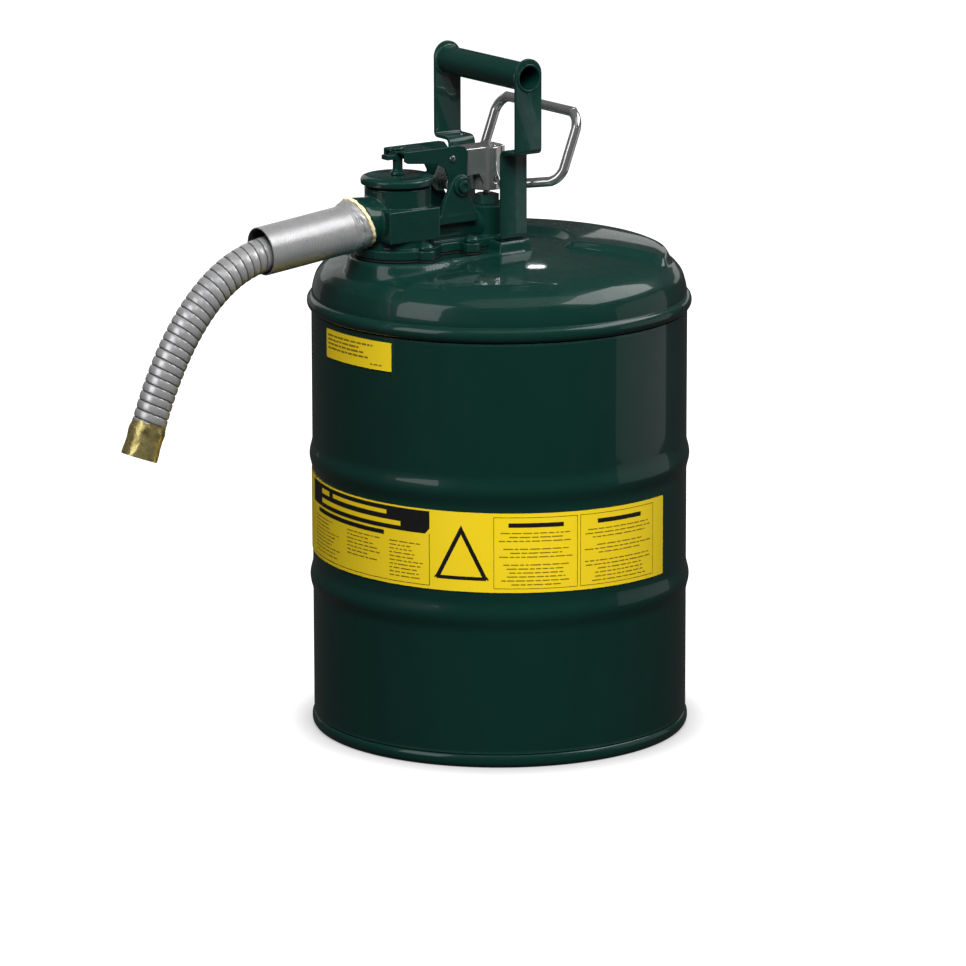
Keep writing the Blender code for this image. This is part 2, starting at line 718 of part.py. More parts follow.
def flange_screw(name, x, y):
    """A round-head screw with a driver socket, its shank through the flange and the dome."""
    seat = FLANGE_TOP + GAP
    socket = SCREW_HEAD_RADIUS * 0.4
    top = seat + SCREW_HEAD_HEIGHT
    profile = (
        (0, SCREW_END_Z),
        (SCREW_RADIUS, SCREW_END_Z),
        (SCREW_RADIUS, seat),
        (SCREW_HEAD_RADIUS, seat),
        (SCREW_HEAD_RADIUS, seat + SCREW_HEAD_HEIGHT / 2),
        (SCREW_HEAD_RADIUS * 0.7, top - 0.0006),
        (socket, top),
        (socket, seat + SCREW_HEAD_HEIGHT / 2),
        (0, seat + SCREW_HEAD_HEIGHT / 2),
    )
    screw = turned(name, profile, 16, upright(x, y), (x, y, 0))
    return finish(screw, DARK_GREEN, 0.35, 0.0)


def gland_nut():
    """The hexagonal packing nut that seals the valve rod."""
    low, high = REAR_TOP + GAP, REAR_TOP + 0.0068
    nut = cylinder("gland_nut", 0.0090, low, high, upright(0, ROD_Y), 6)
    nut = cut(nut, cylinder("bore", ROD_RADIUS + GAP, low - 0.01, high + 0.01, upright(0, ROD_Y)))
    return finish(nut, DARK_GREEN, 0.35, 0.0)


def pivot_bolt():
    """A plain pin through both ears, with a stepped head on the +X side."""
    near = EAR_INNER_X + EAR_THICKNESS + GAP
    profile = (
        (0, -near - 0.0085),
        (PIVOT_RADIUS, -near - 0.0085),
        (PIVOT_RADIUS, near),
        (0.0070, near),
        (0.0070, near + 0.0016),
        (0.0045, near + 0.0020),
        (0.0042, near + 0.0042),
        (0, near + 0.0042),
    )
    place = along_x(PIVOT_Y, PIVOT_Z)
    return painted(turned("pivot_bolt", profile, SMALL_SEGMENTS, place, (0, PIVOT_Y, PIVOT_Z)))


def pivot_nut():
    near = EAR_INNER_X + EAR_THICKNESS + GAP
    place = along_x(PIVOT_Y, PIVOT_Z)
    nut = cylinder("pivot_nut", 0.0066, -near - 0.0050, -near, place, 6)
    return painted(cut(nut, cylinder("bore", PIVOT_RADIUS + GAP, -0.04, 0, place)))


def fill_flame_arrester():
    """The fill tube: a perforated cup that hangs from the neck into the drum, its end open."""
    outer = NECK_BORE - GAP
    inner = outer - 0.0009
    tube = ring("fill_flame_arrester", outer, inner, 0.2620, NECK_TOP - 0.0012, upright(0, FILL_Y))
    return finish(tube, STEEL, 0.45, 1.0)


def pour_flame_arrester():
    """A short screen cup under the pouring seat."""
    low = 0.3260
    profile = ((0, low), (0.0070, low), (0.0070, 0.3640), (0.0062, 0.3640), (0.0062, low + 0.0009),
               (0, low + 0.0009))
    cup = turned("pour_flame_arrester", profile, 16, upright(0, ROD_Y))
    return finish(cup, STEEL, 0.45, 1.0)


# ---- Pouring valve, which slides up with the trigger ---------------------------------------
def valve_rod():
    """The rod from the valve disc up through the gland to the slotted eye on the lever's pin."""
    low = CHAMBER_FLOOR + 0.0046
    origin = (0, ROD_Y, low)
    rod = cylinder("valve_rod", ROD_RADIUS, low, PIVOT_Z - 0.0045, upright(0, ROD_Y), 16, origin)
    eye = box("eye", (-0.0030, ROD_Y - 0.0072, PIVOT_Z - 0.0054), (0.0030, ROD_Y + 0.0044, PIVOT_Z + 0.0054))
    slot = box("slot", (-0.01, ROD_Y - 0.0046, PIVOT_Z - 0.0028), (0.01, ROD_Y + 0.0026, PIVOT_Z + 0.0028))
    return finish(cut(joined(rod, eye), slot), CHROME, 0.2, 1.0)


def valve_disc():
    low = CHAMBER_FLOOR + 0.0016
    disc = cylinder("valve_disc", DISC_RADIUS, low, low + 0.0027, upright(0, ROD_Y), origin=(0, ROD_Y, low))
    return finish(disc, BRASS, 0.35, 1.0)


def valve_seal():
    low = CHAMBER_FLOOR + GAP
    origin = (0, ROD_Y, low)
    seal = ring("valve_seal", 0.0092, 0.0050, low, low + 0.0010, upright(0, ROD_Y), origin=origin)
    return finish(seal, RUBBER, 0.8, 0.0)


def valve_spring():
    """Compression spring between the disc and the chamber's ceiling."""
    low, high = CHAMBER_FLOOR + 0.0054, CHAMBER_TOP - 0.0011
    points = coil((0, ROD_Y), VALVE_SPRING_RADIUS, low, high, VALVE_SPRING_TURNS)
    return finish(wire("valve_spring", points, 0.0005, resolution=1, origin=(0, ROD_Y, low)), STEEL, 0.3, 1.0)


# ---- Trigger -----------------------------------------------------------------------------
def lever_outline():
    """One cheek of the trigger lever, in (y, z)."""
    points = [(-0.0355, LEVER_TOP), (-0.0380, 0.4290), (-0.0470, 0.4190)]
    for i in range(6):
        angle = math.radians(180 + 22 * i)
        points.append((PIVOT_Y + 0.0075 * math.cos(angle), PIVOT_Z + 0.0075 * math.sin(angle)))
    points += [(-0.0350, 0.4110), (-0.0240, 0.4120), (-0.0200, 0.4050), (-0.0200, LEVER_BASE)]
    points += [(-0.0012, LEVER_BASE), (-0.0012, LEVER_TOP)]
    return points


def trigger_lever():
    """The plated lever: two cheeks, the web over them and a round hub at the rear, over the rod's eye."""
    origin = (0, PIVOT_Y, PIVOT_Z)
    lever = prism("trigger_lever", lever_outline(), -LEVER_OUTER_X, LEVER_OUTER_X, "X", origin)
    inner = LEVER_OUTER_X - LEVER_SHEET
    web_base = LEVER_TOP - LEVER_SHEET - LEVER_SPRING_GAP
    lever = cut(lever, box("hollow", (-inner, -0.07, 0.38), (inner, -0.0030, web_base)))
    hub = cylinder("hub", HUB_RADIUS, LEVER_BASE, LEVER_TOP - 0.0004, upright(0, ROD_Y), SEGMENTS)
    hub = cut(hub, cylinder("socket", LEVER_OUTER_X - 0.0002, 0.38, web_base, upright(0, ROD_Y), SEGMENTS))
    lever = joined(lever, hub)
    pin = cylinder("pin", PIVOT_RADIUS + GAP, -0.03, 0.03, along_x(PIVOT_Y, PIVOT_Z))
    link = cylinder("link", LINK_RADIUS + GAP, -0.03, 0.03, along_x(ROD_Y, PIVOT_Z), 16)
    return finish(cut(lever, pin, link), CHROME, 0.08, 1.0)


def link_pin():
    """The pin through the lever's cheeks that lifts the valve rod by its eye."""
    place = along_x(ROD_Y, PIVOT_Z)
    half = LEVER_OUTER_X + 0.0016
    pin = cylinder("link_pin", LINK_RADIUS, -half, half, place, 16, (0, PIVOT_Y, PIVOT_Z))
    return finish(pin, STEEL, 0.3, 1.0)


def loop_corners():
    """The finger loop's route, from the lever's +X side round to its -X side."""
    side = (
        (HUB_RADIUS + LOOP_WIRE / 2 + GAP, -0.0008, 0.4022),
        (0.0506, 0.0182, 0.4084),
        (0.0506, 0.0362, 0.4556),
    )
    other = [(-x, y, z) for x, y, z in reversed(side)]
    return list(side) + other


def trigger_loop():
    path = rounded_path(loop_corners(), LOOP_CORNER)
    loop = wire("trigger_loop", path, LOOP_WIRE, resolution=3, origin=(0, PIVOT_Y, PIVOT_Z))
    return finish(loop, CHROME, 0.08, 1.0)


def cap_spring():
    """Torsion spring round the pivot bolt, between the lever's cheeks, that holds the fill cap shut."""
    points = coil((PIVOT_Y, PIVOT_Z), 0.0046, -0.0070, 0.0070, 7, per_turn=10, axis="X")
    return finish(wire("cap_spring", points, 0.0006, resolution=1), STEEL, 0.3, 1.0)


# ---- Fill cap and its arm ----------------------------------------------------------------
def arm_outline():
    """One side of the arm's channel, in (y, z)."""
    points = [(-0.0925, ARM_TOP - 0.0010), (-0.0925, 0.4285), (-0.0885, 0.4262), (-0.0640, 0.4238),
              (-0.0570, 0.4200), (-0.0535, 0.4130)]
    for i in range(6):
        angle = math.radians(190 + 32 * i)
        points.append((PIVOT_Y + 0.0072 * math.cos(angle), PIVOT_Z + 0.0072 * math.sin(angle)))
    points += [(-0.0375, 0.4130), (-0.0365, 0.4300), (-0.0395, ARM_TOP - 0.0010), (-0.0440, ARM_TOP)]
    points += [(-0.0900, ARM_TOP)]
    return points


def cap_arm():
    """The channel-shaped arm that carries the cap, hinged on the pivot bolt."""
    origin = (0, PIVOT_Y, PIVOT_Z)
    arm = prism("cap_arm", arm_outline(), -ARM_OUTER_X, ARM_OUTER_X, "X", origin)
    inner = ARM_OUTER_X - ARM_SIDE
    under = box("under", (-inner, -0.10, 0.39), (inner, -0.03, ARM_TOP - 0.0020))
    behind = box("behind", (-inner, -0.0640, 0.42), (inner, -0.03, 0.45))
    pin = cylinder("pin", PIVOT_RADIUS + GAP, -0.03, 0.03, along_x(PIVOT_Y, PIVOT_Z))
    rivet = cylinder("rivet", RIVET_RADIUS + GAP, -0.03, 0.03, along_x(ARM_RIVET_Y, ARM_RIVET_Z), 16)
    tab = box("tab", (-0.0050, -0.1000, ARM_TOP - 0.0065), (0.0050, -0.0915, ARM_TOP - 0.0030))
    web = box("web", (-0.0050, -0.0930, ARM_TOP - 0.0065), (0.0050, -0.0918, ARM_TOP - 0.0005))
    stem = cylinder("stem_hole", 0.0036 + GAP, 0.42, 0.45, upright(0, FILL_Y), 16)
    arm = cut(arm, under, behind, pin, rivet)
    arm = joined(arm, tab, web)
    for side in (-1, 1):
        nose = sorted((side * 0.0040, side * ARM_OUTER_X))
        arm = cut(arm, box("nose", (nose[0], -0.105, 0.42), (nose[1], -0.0915, 0.44)))
    return painted(cut(arm, stem))


def arm_rivet(name, side):
    """A short rivet through one side of the arm, its round head outside."""
    head = ARM_OUTER_X + GAP
    profile = (
        (0, ARM_OUTER_X - ARM_SIDE - 0.0008),
        (RIVET_RADIUS, ARM_OUTER_X - ARM_SIDE - 0.0008),
        (RIVET_RADIUS, head),
        (RIVET_HEAD_RADIUS, head),
        (RIVET_HEAD_RADIUS * 0.8, head + 0.0010),
        (0, head + 0.0015),
    )
    place = Matrix.Translation((0, ARM_RIVET_Y, ARM_RIVET_Z)) @ Matrix.Rotation(side * math.radians(90), 4, "Y")
    return finish(turned(name, profile, 16, place, (0, PIVOT_Y, PIVOT_Z)), STEEL, 0.25, 1.0)


def fill_cap():
    """The round fill cap, with a turned-down rim that sits over the neck."""
    top = CAP_BASE + CAP_THICKNESS
    profile = (
        (0, top),
        (0, top - CAP_SHEET),
        (NECK_RADIUS + 0.0008, top - CAP_SHEET),
        (NECK_RADIUS + 0.0008, CAP_BASE),
        (CAP_RADIUS - 0.0008, CAP_BASE),
        (CAP_RADIUS, CAP_BASE + 0.0008),
        (CAP_RADIUS, top - 0.0012),
        (CAP_RADIUS - 0.0012, top),
    )
    cap = turned("fill_cap", profile, SEGMENTS, upright(0, FILL_Y), (0, PIVOT_Y, PIVOT_Z))
    return painted(cap)


def fill_cap_gasket():
    low, high = NECK_TOP + GAP, CAP_BASE + CAP_THICKNESS - CAP_SHEET - GAP
    gasket = cylinder("fill_cap_gasket", CAP_GASKET_RADIUS, low, high, upright(0, FILL_Y),
                      origin=(0, PIVOT_Y, PIVOT_Z))
    return finish(gasket, RUBBER, 0.8, 0.0)


def cap_stem():
    """The post between the cap and the arm, with a collar below the arm and a riveted head."""
    low = CAP_BASE + CAP_THICKNESS + GAP
    profile = (
        (0, low),
        (0.0052, low),
        (0.0052, low + 0.0020),
        (0.0036, low + 0.0030),
        (0.0036, ARM_TOP + GAP),
        (0.0050, ARM_TOP + GAP),
        (0.0044, ARM_TOP + 0.0018),
        (0, ARM_TOP + 0.0024),
    )
    stem = turned("cap_stem", profile, 16, upright(0, FILL_Y), (0, PIVOT_Y, PIVOT_Z))
    return painted(stem)


# ---- Hose --------------------------------------------------------------------------------
def hose_adapter():
    """The nipple that carries the hose on the manifold's outlet."""
    return finish(ring("hose_adapter", ADAPTER_RADIUS, 0.0100, -0.0095, 0.0134, outlet_place()), STEEL, 0.35, 1.0)


def hose_gasket():
    """The pale fibre washer between the outlet's face and the hose cuff."""
    low, high = -HOSE_GASKET_THICKNESS / 2, HOSE_GASKET_THICKNESS / 2
    outer = OUTLET_RADIUS + 0.0006
    gasket = ring("hose_gasket", outer, HOSE_GASKET_BORE, low - 0.0004, high - 0.0004, outlet_face_place())
    return finish(gasket, CREAM, 0.8, 0.0)


def hose_cuff():
    """The flared cuff between the leaning outlet face and the sleeve."""
    near = outlet_face_place(HOSE_GASKET_THICKNESS / 2 - 0.0004 + GAP)
    middle = outlet_place(0.0108)
    far = outlet_place(SLEEVE_SPAN[0] - GAP)
    circles = (
        (near, HOSE_GASKET_BORE),
        (near, OUTLET_RADIUS),
        (middle, 0.0181),
        (far, SLEEVE_RADIUS + 0.0003),
        (far, ADAPTER_RADIUS + 0.0006),
    )
    return finish(lofted("hose_cuff", circles, True), STEEL, 0.25, 1.0)


def hose_sleeve():
    """The close-wound outer sleeve round the hose's first stretch."""
    low, high = SLEEVE_SPAN
    profile = ((SLEEVE_BORE, low), (SLEEVE_RADIUS, low), (SLEEVE_RADIUS, high), (SLEEVE_BORE, high))
    return finish(turned("hose_sleeve", profile, SMALL_SEGMENTS, outlet_place()), STEEL, 0.3, 1.0)


def hose_tube():
    """The flexible metal hose, along its route."""
    points = smooth_route(HOSE_ROUTE, HOSE_RADIUS)
    return finish(wire("hose_tube", points, HOSE_RADIUS, resolution=4), STEEL, 0.3, 1.0)


def brass_tip():
    """The pouring tip at the hose's end, open at its mouth."""
    end, before = Vector(HOSE_ROUTE[-1]), Vector(HOSE_ROUTE[-2])
    direction = (end - before).normalized()
    place = Matrix.Translation(end) @ direction.to_track_quat("Z", "Y").to_matrix().to_4x4()
    shank = TIP_RADIUS - 0.0006
    profile = (
        (0, GAP),
        (shank, GAP),
        (TIP_RADIUS, 0.0020),
        (TIP_RADIUS, 0.0085),
        (shank, 0.0100),
        (shank, TIP_LENGTH - 0.0010),
        (shank - 0.0005, TIP_LENGTH),
        (TIP_BORE, TIP_LENGTH),
        (TIP_BORE, 0.0020),
        (0, 0.0020),
    )
    return finish(turned("brass_tip", profile, SMALL_SEGMENTS, place), BRASS, 0.25, 1.0)


# ---- Labels ------------------------------------------------------------------------------
def wrapped_label(name, angles, middles, half_width, colour):
    """A thin sheet wrapped round the drum, its middle line running from the first height to the second."""
    bm = bmesh.new()
    step = math.tau / SEGMENTS
    inside = range(math.ceil(angles[0] / step), math.floor(angles[1] / step) + 1)
    inner = BODY_RADIUS + GAP
    outer = inner + LABEL_THICKNESS
    rows = []
    for angle in [angles[0]] + [i * step for i in inside] + [angles[1]]:
        share = (angle - angles[0]) / (angles[1] - angles[0])
        middle = middles[0] + (middles[1] - middles[0]) * share
        low, high = middle - half_width, middle + half_width
        row = []
        for radius, height in ((inner, low), (outer, low), (outer, high), (inner, high)):
            row.append(bm.verts.new((radius * math.cos(angle), radius * math.sin(angle), height)))
        rows.append(row)
    for first, second in zip(rows, rows[1:]):
        bridge(bm, first, second)
    bm.faces.new(rows[0])
    bm.faces.new(rows[-1])
    return finish(add_object(name, bm), colour, 0.5, 0.0)


# ---- Assembly ----------------------------------------------------------------------------
def build_drum():
    body_shell()
    bottom_pan()
    top_dome()
    wrapped_label("label_band", BAND_ANGLES, BAND_MIDDLE, BAND_HALF_WIDTH, YELLOW)
    wrapped_label("label_plate", PLATE_ANGLES, PLATE_MIDDLE, PLATE_HALF_WIDTH, YELLOW)


def build_handle():
    handle_strap("handle_strap_right", 1)
    handle_strap("handle_strap_left", -1)
    grip_tube()


def build_manifold():
    manifold_casting()
    manifold_gasket()
    for number, (x, y) in enumerate(SCREW_PLACES, start=1):
        flange_screw(f"flange_screw_{number}", x, y)
    gland_nut()
    pivot_bolt()
    pivot_nut()
    fill_flame_arrester()
    pour_flame_arrester()


def build_valve():
    valve_rod()
    valve_disc()
    valve_seal()
    valve_spring()


def build_trigger():
    trigger_lever()
    link_pin()
    trigger_loop()


def build_cap():
    cap_arm()
    arm_rivet("arm_rivet_right", 1)
    arm_rivet("arm_rivet_left", -1)
    cap_spring()
    fill_cap()
    fill_cap_gasket()
    cap_stem()


def build_hose():
    hose_adapter()
    hose_gasket()
    hose_cuff()
    hose_sleeve()
    hose_tube()
    brass_tip()


def main():
    clear_scene()
    build_drum()
    build_handle()
    build_manifold()
    build_valve()
    build_trigger()
    build_cap()
    build_hose()


main()
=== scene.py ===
"""Looks of the safety gas can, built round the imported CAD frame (metres, +Z up).

Smooth, detailed pieces stand for the plain CAD solids of the drum, handle, manifold, trigger, cap and
hose, and every surface gets a procedural material.
"""

import json
import math
import random

import bmesh
import bpy
from mathutils import Matrix, Vector, noise

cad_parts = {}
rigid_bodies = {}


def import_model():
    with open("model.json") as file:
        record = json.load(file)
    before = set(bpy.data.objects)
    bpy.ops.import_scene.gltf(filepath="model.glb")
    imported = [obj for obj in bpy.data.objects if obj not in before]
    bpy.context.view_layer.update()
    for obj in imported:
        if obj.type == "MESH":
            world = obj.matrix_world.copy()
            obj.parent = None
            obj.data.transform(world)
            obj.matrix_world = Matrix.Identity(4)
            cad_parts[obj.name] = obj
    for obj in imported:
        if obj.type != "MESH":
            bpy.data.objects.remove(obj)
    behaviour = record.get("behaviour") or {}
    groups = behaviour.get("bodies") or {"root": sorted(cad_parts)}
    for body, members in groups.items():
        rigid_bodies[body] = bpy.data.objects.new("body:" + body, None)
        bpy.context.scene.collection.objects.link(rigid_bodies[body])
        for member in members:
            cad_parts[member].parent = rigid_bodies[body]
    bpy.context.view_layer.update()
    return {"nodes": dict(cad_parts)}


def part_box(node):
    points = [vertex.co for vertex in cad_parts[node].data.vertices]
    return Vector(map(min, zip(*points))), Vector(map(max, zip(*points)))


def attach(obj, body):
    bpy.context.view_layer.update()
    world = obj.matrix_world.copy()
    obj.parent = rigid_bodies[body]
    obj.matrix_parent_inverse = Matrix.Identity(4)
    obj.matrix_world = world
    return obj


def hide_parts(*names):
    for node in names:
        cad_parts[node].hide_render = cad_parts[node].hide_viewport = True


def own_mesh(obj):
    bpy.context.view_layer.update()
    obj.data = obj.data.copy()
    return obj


for leftover in list(bpy.data.objects):
    bpy.data.objects.remove(leftover, do_unlink=True)
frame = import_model()

# ---- Driving dimensions ----
CAMERA_AZIMUTH = math.radians(55.0)
CAMERA_DISTANCE = 4.4058
CAMERA_HEIGHT = 1.2091
CAMERA_PITCH = math.radians(13.17)
CAMERA_YAW = math.radians(0.157)
CAMERA_ROLL = math.radians(0.12)
CAMERA_LENS = 230.3
SENSOR_WIDTH = 36.0

FLOOR = 30.0
# Floor glow by distance from the can's middle; the lower glow near the foot is a painted shadow.
GLOW_WITH_PAINTED_SHADOW = {"From Min": 0.125, "From Max": 0.178, "To Min": 0.40, "To Max": 1.0}  # by distance in metres

SIDES = ((1, "right"), (-1, "left"))
ROUND = 192
DOME_ROUND = 448
FINE_ROUND = 128
HOSE_ROUND = 96
SMALL_ROUND = 64
WIRE_ROUND = 24
FILLET_STEPS = 6
BEND_STEPS = 8
SHEET = 0.0008
WALL_INSET = 0.0020  # from the crests of the hoops in to the drum's wall
WALL_WAVE = 0.0012  # as a share of the radius
PAINT = 0.0002
PINHOLE = 0.00002

HOOP_HEIGHTS = (0.1116, 0.2026)
HOOP_HALF_WIDTH = 0.0120
HOOP_BULGE = 0.0021
SEAM_NECK_Z = 0.3215

FILL_Y = -0.0885
ROD_Y = -0.0110
CROWN = (  # radius and height of the dome's face, from its centre out to the seam
    (0.0, 0.3574), (0.0250, 0.3570), (0.0450, 0.3562), (0.0600, 0.3555), (0.0900, 0.3530),
    (0.1120, 0.3495), (0.1205, 0.3466), (0.1262, 0.3437), (0.1300, 0.3402), (0.1333, 0.3357),
    (0.1352, 0.3300), (0.1363, 0.3250), (0.1366, 0.3215),
)
MANIFOLD_HOLES = ((FILL_Y, 0.0200), (ROD_Y, 0.0085))  # (y, radius)
PANEL_HEIGHT = 0.0050
PANEL_RADII = (0.0460, 0.1262)
PANEL_SPREAD = 52.0  # degrees to each side of +Y
PAD_CENTRE_Y = -0.0845
PAD_RADIUS = 0.0385
PAD_Z = 0.3580
REAR_PAD_HALF_WIDTH = 0.0335
REAR_PAD_END_Y = 0.0070
HANDLE_PAD_Z = 0.3655
HANDLE_PAD_X = (0.0205, 0.0350)
HANDLE_PAD_HALF_DEPTH = 0.0125

GRIP_Y = -0.0103
GRIP_Z = 0.4860
STRAP_THICKNESS = 0.0025
STRAP_UPPER_X = 0.0508
STRAP_LOWER_X = 0.0325
STRAP_JOG_Z = 0.4312

PIVOT_Y = -0.0455
PIVOT_Z = 0.4065

LOOP_WIRE = 0.0036
LOOP_CORNER = 0.0135
LOOP_SIDE = ((0.0095, -0.0020, 0.4016), (0.0506, 0.0182, 0.4084), (0.0506, 0.0362, 0.4556))

OUTLET = Vector((0, -0.1205, 0.3835))
OUTLET_SLOPE = math.radians(6.45)
OUTLET_FACE = Vector((0, -0.1236, 0.3860))
OUTLET_FACE_SLOPE = math.radians(22)
OUTLET_RADIUS = 0.0186
SLEEVE_SPAN = (0.0145, 0.0855)
SLEEVE_RADIUS = 0.0175
SLEEVE_PITCH = 0.0013
HOSE_RADIUS = 0.0121
HOSE_PITCH = 0.0062
HOSE_LINE = (  # (y, z) along the hose's middle, from inside the sleeve to the tip
    (-0.1342, 0.3820), (-0.1500, 0.3800), (-0.1700, 0.3772), (-0.1880, 0.3743),
    (-0.2045, 0.3714), (-0.2165, 0.3681), (-0.2285, 0.3629), (-0.2400, 0.3555),
    (-0.2505, 0.3466), (-0.2600, 0.3365), (-0.2685, 0.3255), (-0.2762, 0.3137),
    (-0.2832, 0.3012), (-0.2896, 0.2880), (-0.2953, 0.2745), (-0.3003, 0.2612),
)
HOSE_ROUTE = [(0.0, y, z) for y, z in HOSE_LINE]
TIP_LENGTH = 0.0245
TIP_RADIUS = 0.0130

BAND_ANGLES = (-132.0, 24.0)
BAND_MIDDLE = (0.1626, 0.1566)
BAND_HALF_WIDTH = 0.0290
PLATE_ANGLES = (-99.5, -69.0)
PLATE_MIDDLE = 0.2962
PLATE_HALF_WIDTH = 0.0104
FILM_THICKNESS = 0.0003
INK_THICKNESS = 0.00006
YELLOW, BLACK, GREY = 0, 1, 2  # the labels' material numbers
HEAD_ANGLES = (-113.0, -56.3)
HEAD_DEPTH = 0.0178
HEAD_ROUNDING = (1.6, 0.0040)  # degrees and metres
HEAD_BARS = (  # angles, and depths below the band's top edge
    ((-104.0, -98.5), (0.0078, 0.0040)),
    ((-96.0, -71.0), (0.0074, 0.0044)),
    ((-104.0, -66.0), (0.0146, 0.0112)),
)
COLUMNS = ((-110.0, -92.0, 10), (-88.0, -73.0, 7), (-70.0, -58.5, 10))  # angles and number of rows
TRIANGLE = (-54.8, -38.3, -0.0205, 0.0195, 0.0026)  # left, right, base, apex and line
PANELS = ((-36.8, -11.1), (-10.2, 18.4))
PANEL_EDGE = 0.0262
PRINT_HEIGHT = 0.0008


# ---- Camera, lights and floor ----
def placed(name, data):
    """A new object of the data, in the scene."""
    obj = bpy.data.objects.new(name, data)
    bpy.context.scene.collection.objects.link(obj)
    return obj


def direction(azimuth, elevation=0.0):
    """The unit vector from the can towards an azimuth (0 is -Y, 90 degrees is +X) and elevation."""
    flat = math.cos(elevation)
    return Vector((math.sin(azimuth) * flat, -math.cos(azimuth) * flat, math.sin(elevation)))


def make_camera():
    data = bpy.data.cameras.new("camera")
    data.lens = CAMERA_LENS
    data.sensor_width = SENSOR_WIDTH
    data.clip_end = 100.0
    camera = placed("camera", data)
    position = direction(CAMERA_AZIMUTH) * CAMERA_DISTANCE + Vector((0, 0, CAMERA_HEIGHT))
    turn = Matrix.Rotation(CAMERA_AZIMUTH + CAMERA_YAW, 4, "Z")
    tilt = Matrix.Rotation(math.radians(90) - CAMERA_PITCH, 4, "X")
    camera.matrix_world = Matrix.Translation(position) @ turn @ tilt @ Matrix.Rotation(-CAMERA_ROLL, 4, "Z")
    bpy.context.scene.camera = camera


def softbox(name, azimuth, elevation, distance, size, radiance, seen_in_gloss, aim=(0, 0, 0.25)):
    """A rectangular light of even radiance, its azimuth counted in degrees from the camera's.

    It either lights surfaces and isn't mirrored, or is a card that only shows in gloss.
    """
    data = bpy.data.lights.new(name, "AREA")
    data.shape = "RECTANGLE"
    data.size, data.size_y = size
    data.energy = radiance * math.pi * size[0] * size[1]
    lamp = placed(name, data)
    away = direction(CAMERA_AZIMUTH + math.radians(azimuth), math.radians(elevation))
    lamp.location = Vector(aim) + away * distance
    lamp.rotation_mode = "QUATERNION"
    lamp.rotation_quaternion = away.to_track_quat("Z", "Y")
    lamp.visible_glossy = seen_in_gloss
    lamp.visible_diffuse = not seen_in_gloss


def make_lights():
    softbox("key_soft", 8, 46, 2.6, (1.5, 1.2), 17.5, False)
    softbox("overhead_soft", 0, 88, 2.2, (2.2, 2.2), 1.3, False)
    softbox("back_soft", 172, 30, 2.6, (1.5, 1.2), 8.5, False)
    softbox("left_soft", -128, 22, 2.6, (1.2, 1.2), 5.5, False)
    softbox("right_card", 94, 0, 0.95, (0.80, 0.52), 0.22, True, aim=(0, 0, 0.27))
    softbox("right_high_card", 92, 46, 1.8, (1.8, 0.9), 2.4, True)
    softbox("front_high_card", 20, 62, 2.4, (2.2, 1.2), 0.30, True)
    softbox("left_high_card", -50, 28, 2.2, (1.1, 1.5), 1.3, True)
    softbox("left_back_card", -150, 27, 0.70, (0.35, 0.35), 0.35, True)
    softbox("back_card", 178, 23, 2.6, (0.035, 0.05), 12.0, True)
    softbox("back_low_card", 158, 9, 2.6, (1.7, 0.35), 0.45, True)
    softbox("left_edge_card", -150, 8, 1.8, (0.8, 0.9), 0.10, True)


def add_node(tree, kind, values=(), sources=()):
    """A new shader node, with values set and sources linked on its inputs."""
    node = tree.nodes.new("ShaderNode" + kind)
    for socket, value in dict(values).items():
        node.inputs[socket].default_value = value
    for socket, source in dict(sources).items():
        tree.links.new(source, node.inputs[socket])
    return node


def make_world():
    """A dim room that the camera sees as white."""
    world = bpy.data.worlds.new("studio")
    bpy.context.scene.world = world
    world.use_nodes = True
    tree = world.node_tree
    room = tree.nodes["Background"]
    room.inputs["Color"].default_value = (0.035, 0.035, 0.035, 1)
    seen = add_node(tree, "Background", {"Color": (1, 1, 1, 1)})
    path = add_node(tree, "LightPath")
    choose = add_node(tree, "MixShader", sources={
        0: path.outputs["Is Camera Ray"], 1: room.outputs[0], 2: seen.outputs[0]})
    tree.links.new(choose.outputs[0], tree.nodes["World Output"].inputs["Surface"])


def make_floor():
    """A pale floor, a little darker round the can's foot, partly from lit shade and partly from a painted
    shadow where its glow is turned down, and as bright as the room further out.
    """
    made = bpy.data.materials.new("pale_floor")
    made.use_nodes = True
    tree = made.node_tree
    shader = tree.nodes["Principled BSDF"]
    shader.inputs["Base Color"].default_value = (0.20, 0.20, 0.20, 1)
    shader.inputs["Roughness"].default_value = 1.0
    shader.inputs["Specular IOR Level"].default_value = 0.0
    shader.inputs["Emission Color"].default_value = (1, 1, 1, 1)
    place = add_node(tree, "TexCoord")
    away = add_node(tree, "VectorMath", sources={0: place.outputs["Object"]})
    away.operation = "LENGTH"
    # less glow near the can's foot: a painted shadow
    glow_with_painted_shadow = add_node(tree, "MapRange", GLOW_WITH_PAINTED_SHADOW, {"Value": away.outputs["Value"]})
    glow_with_painted_shadow.interpolation_type = "SMOOTHSTEP"
    tree.links.new(glow_with_painted_shadow.outputs["Result"], shader.inputs["Emission Strength"])
    corners = [(-FLOOR, -FLOOR, 0), (FLOOR, -FLOOR, 0), (FLOOR, FLOOR, 0), (-FLOOR, FLOOR, 0)]
    floor = add_mesh("floor", corners, [(0, 1, 2, 3)], [made])
    floor.visible_glossy = False
    floor.visible_diffuse = False


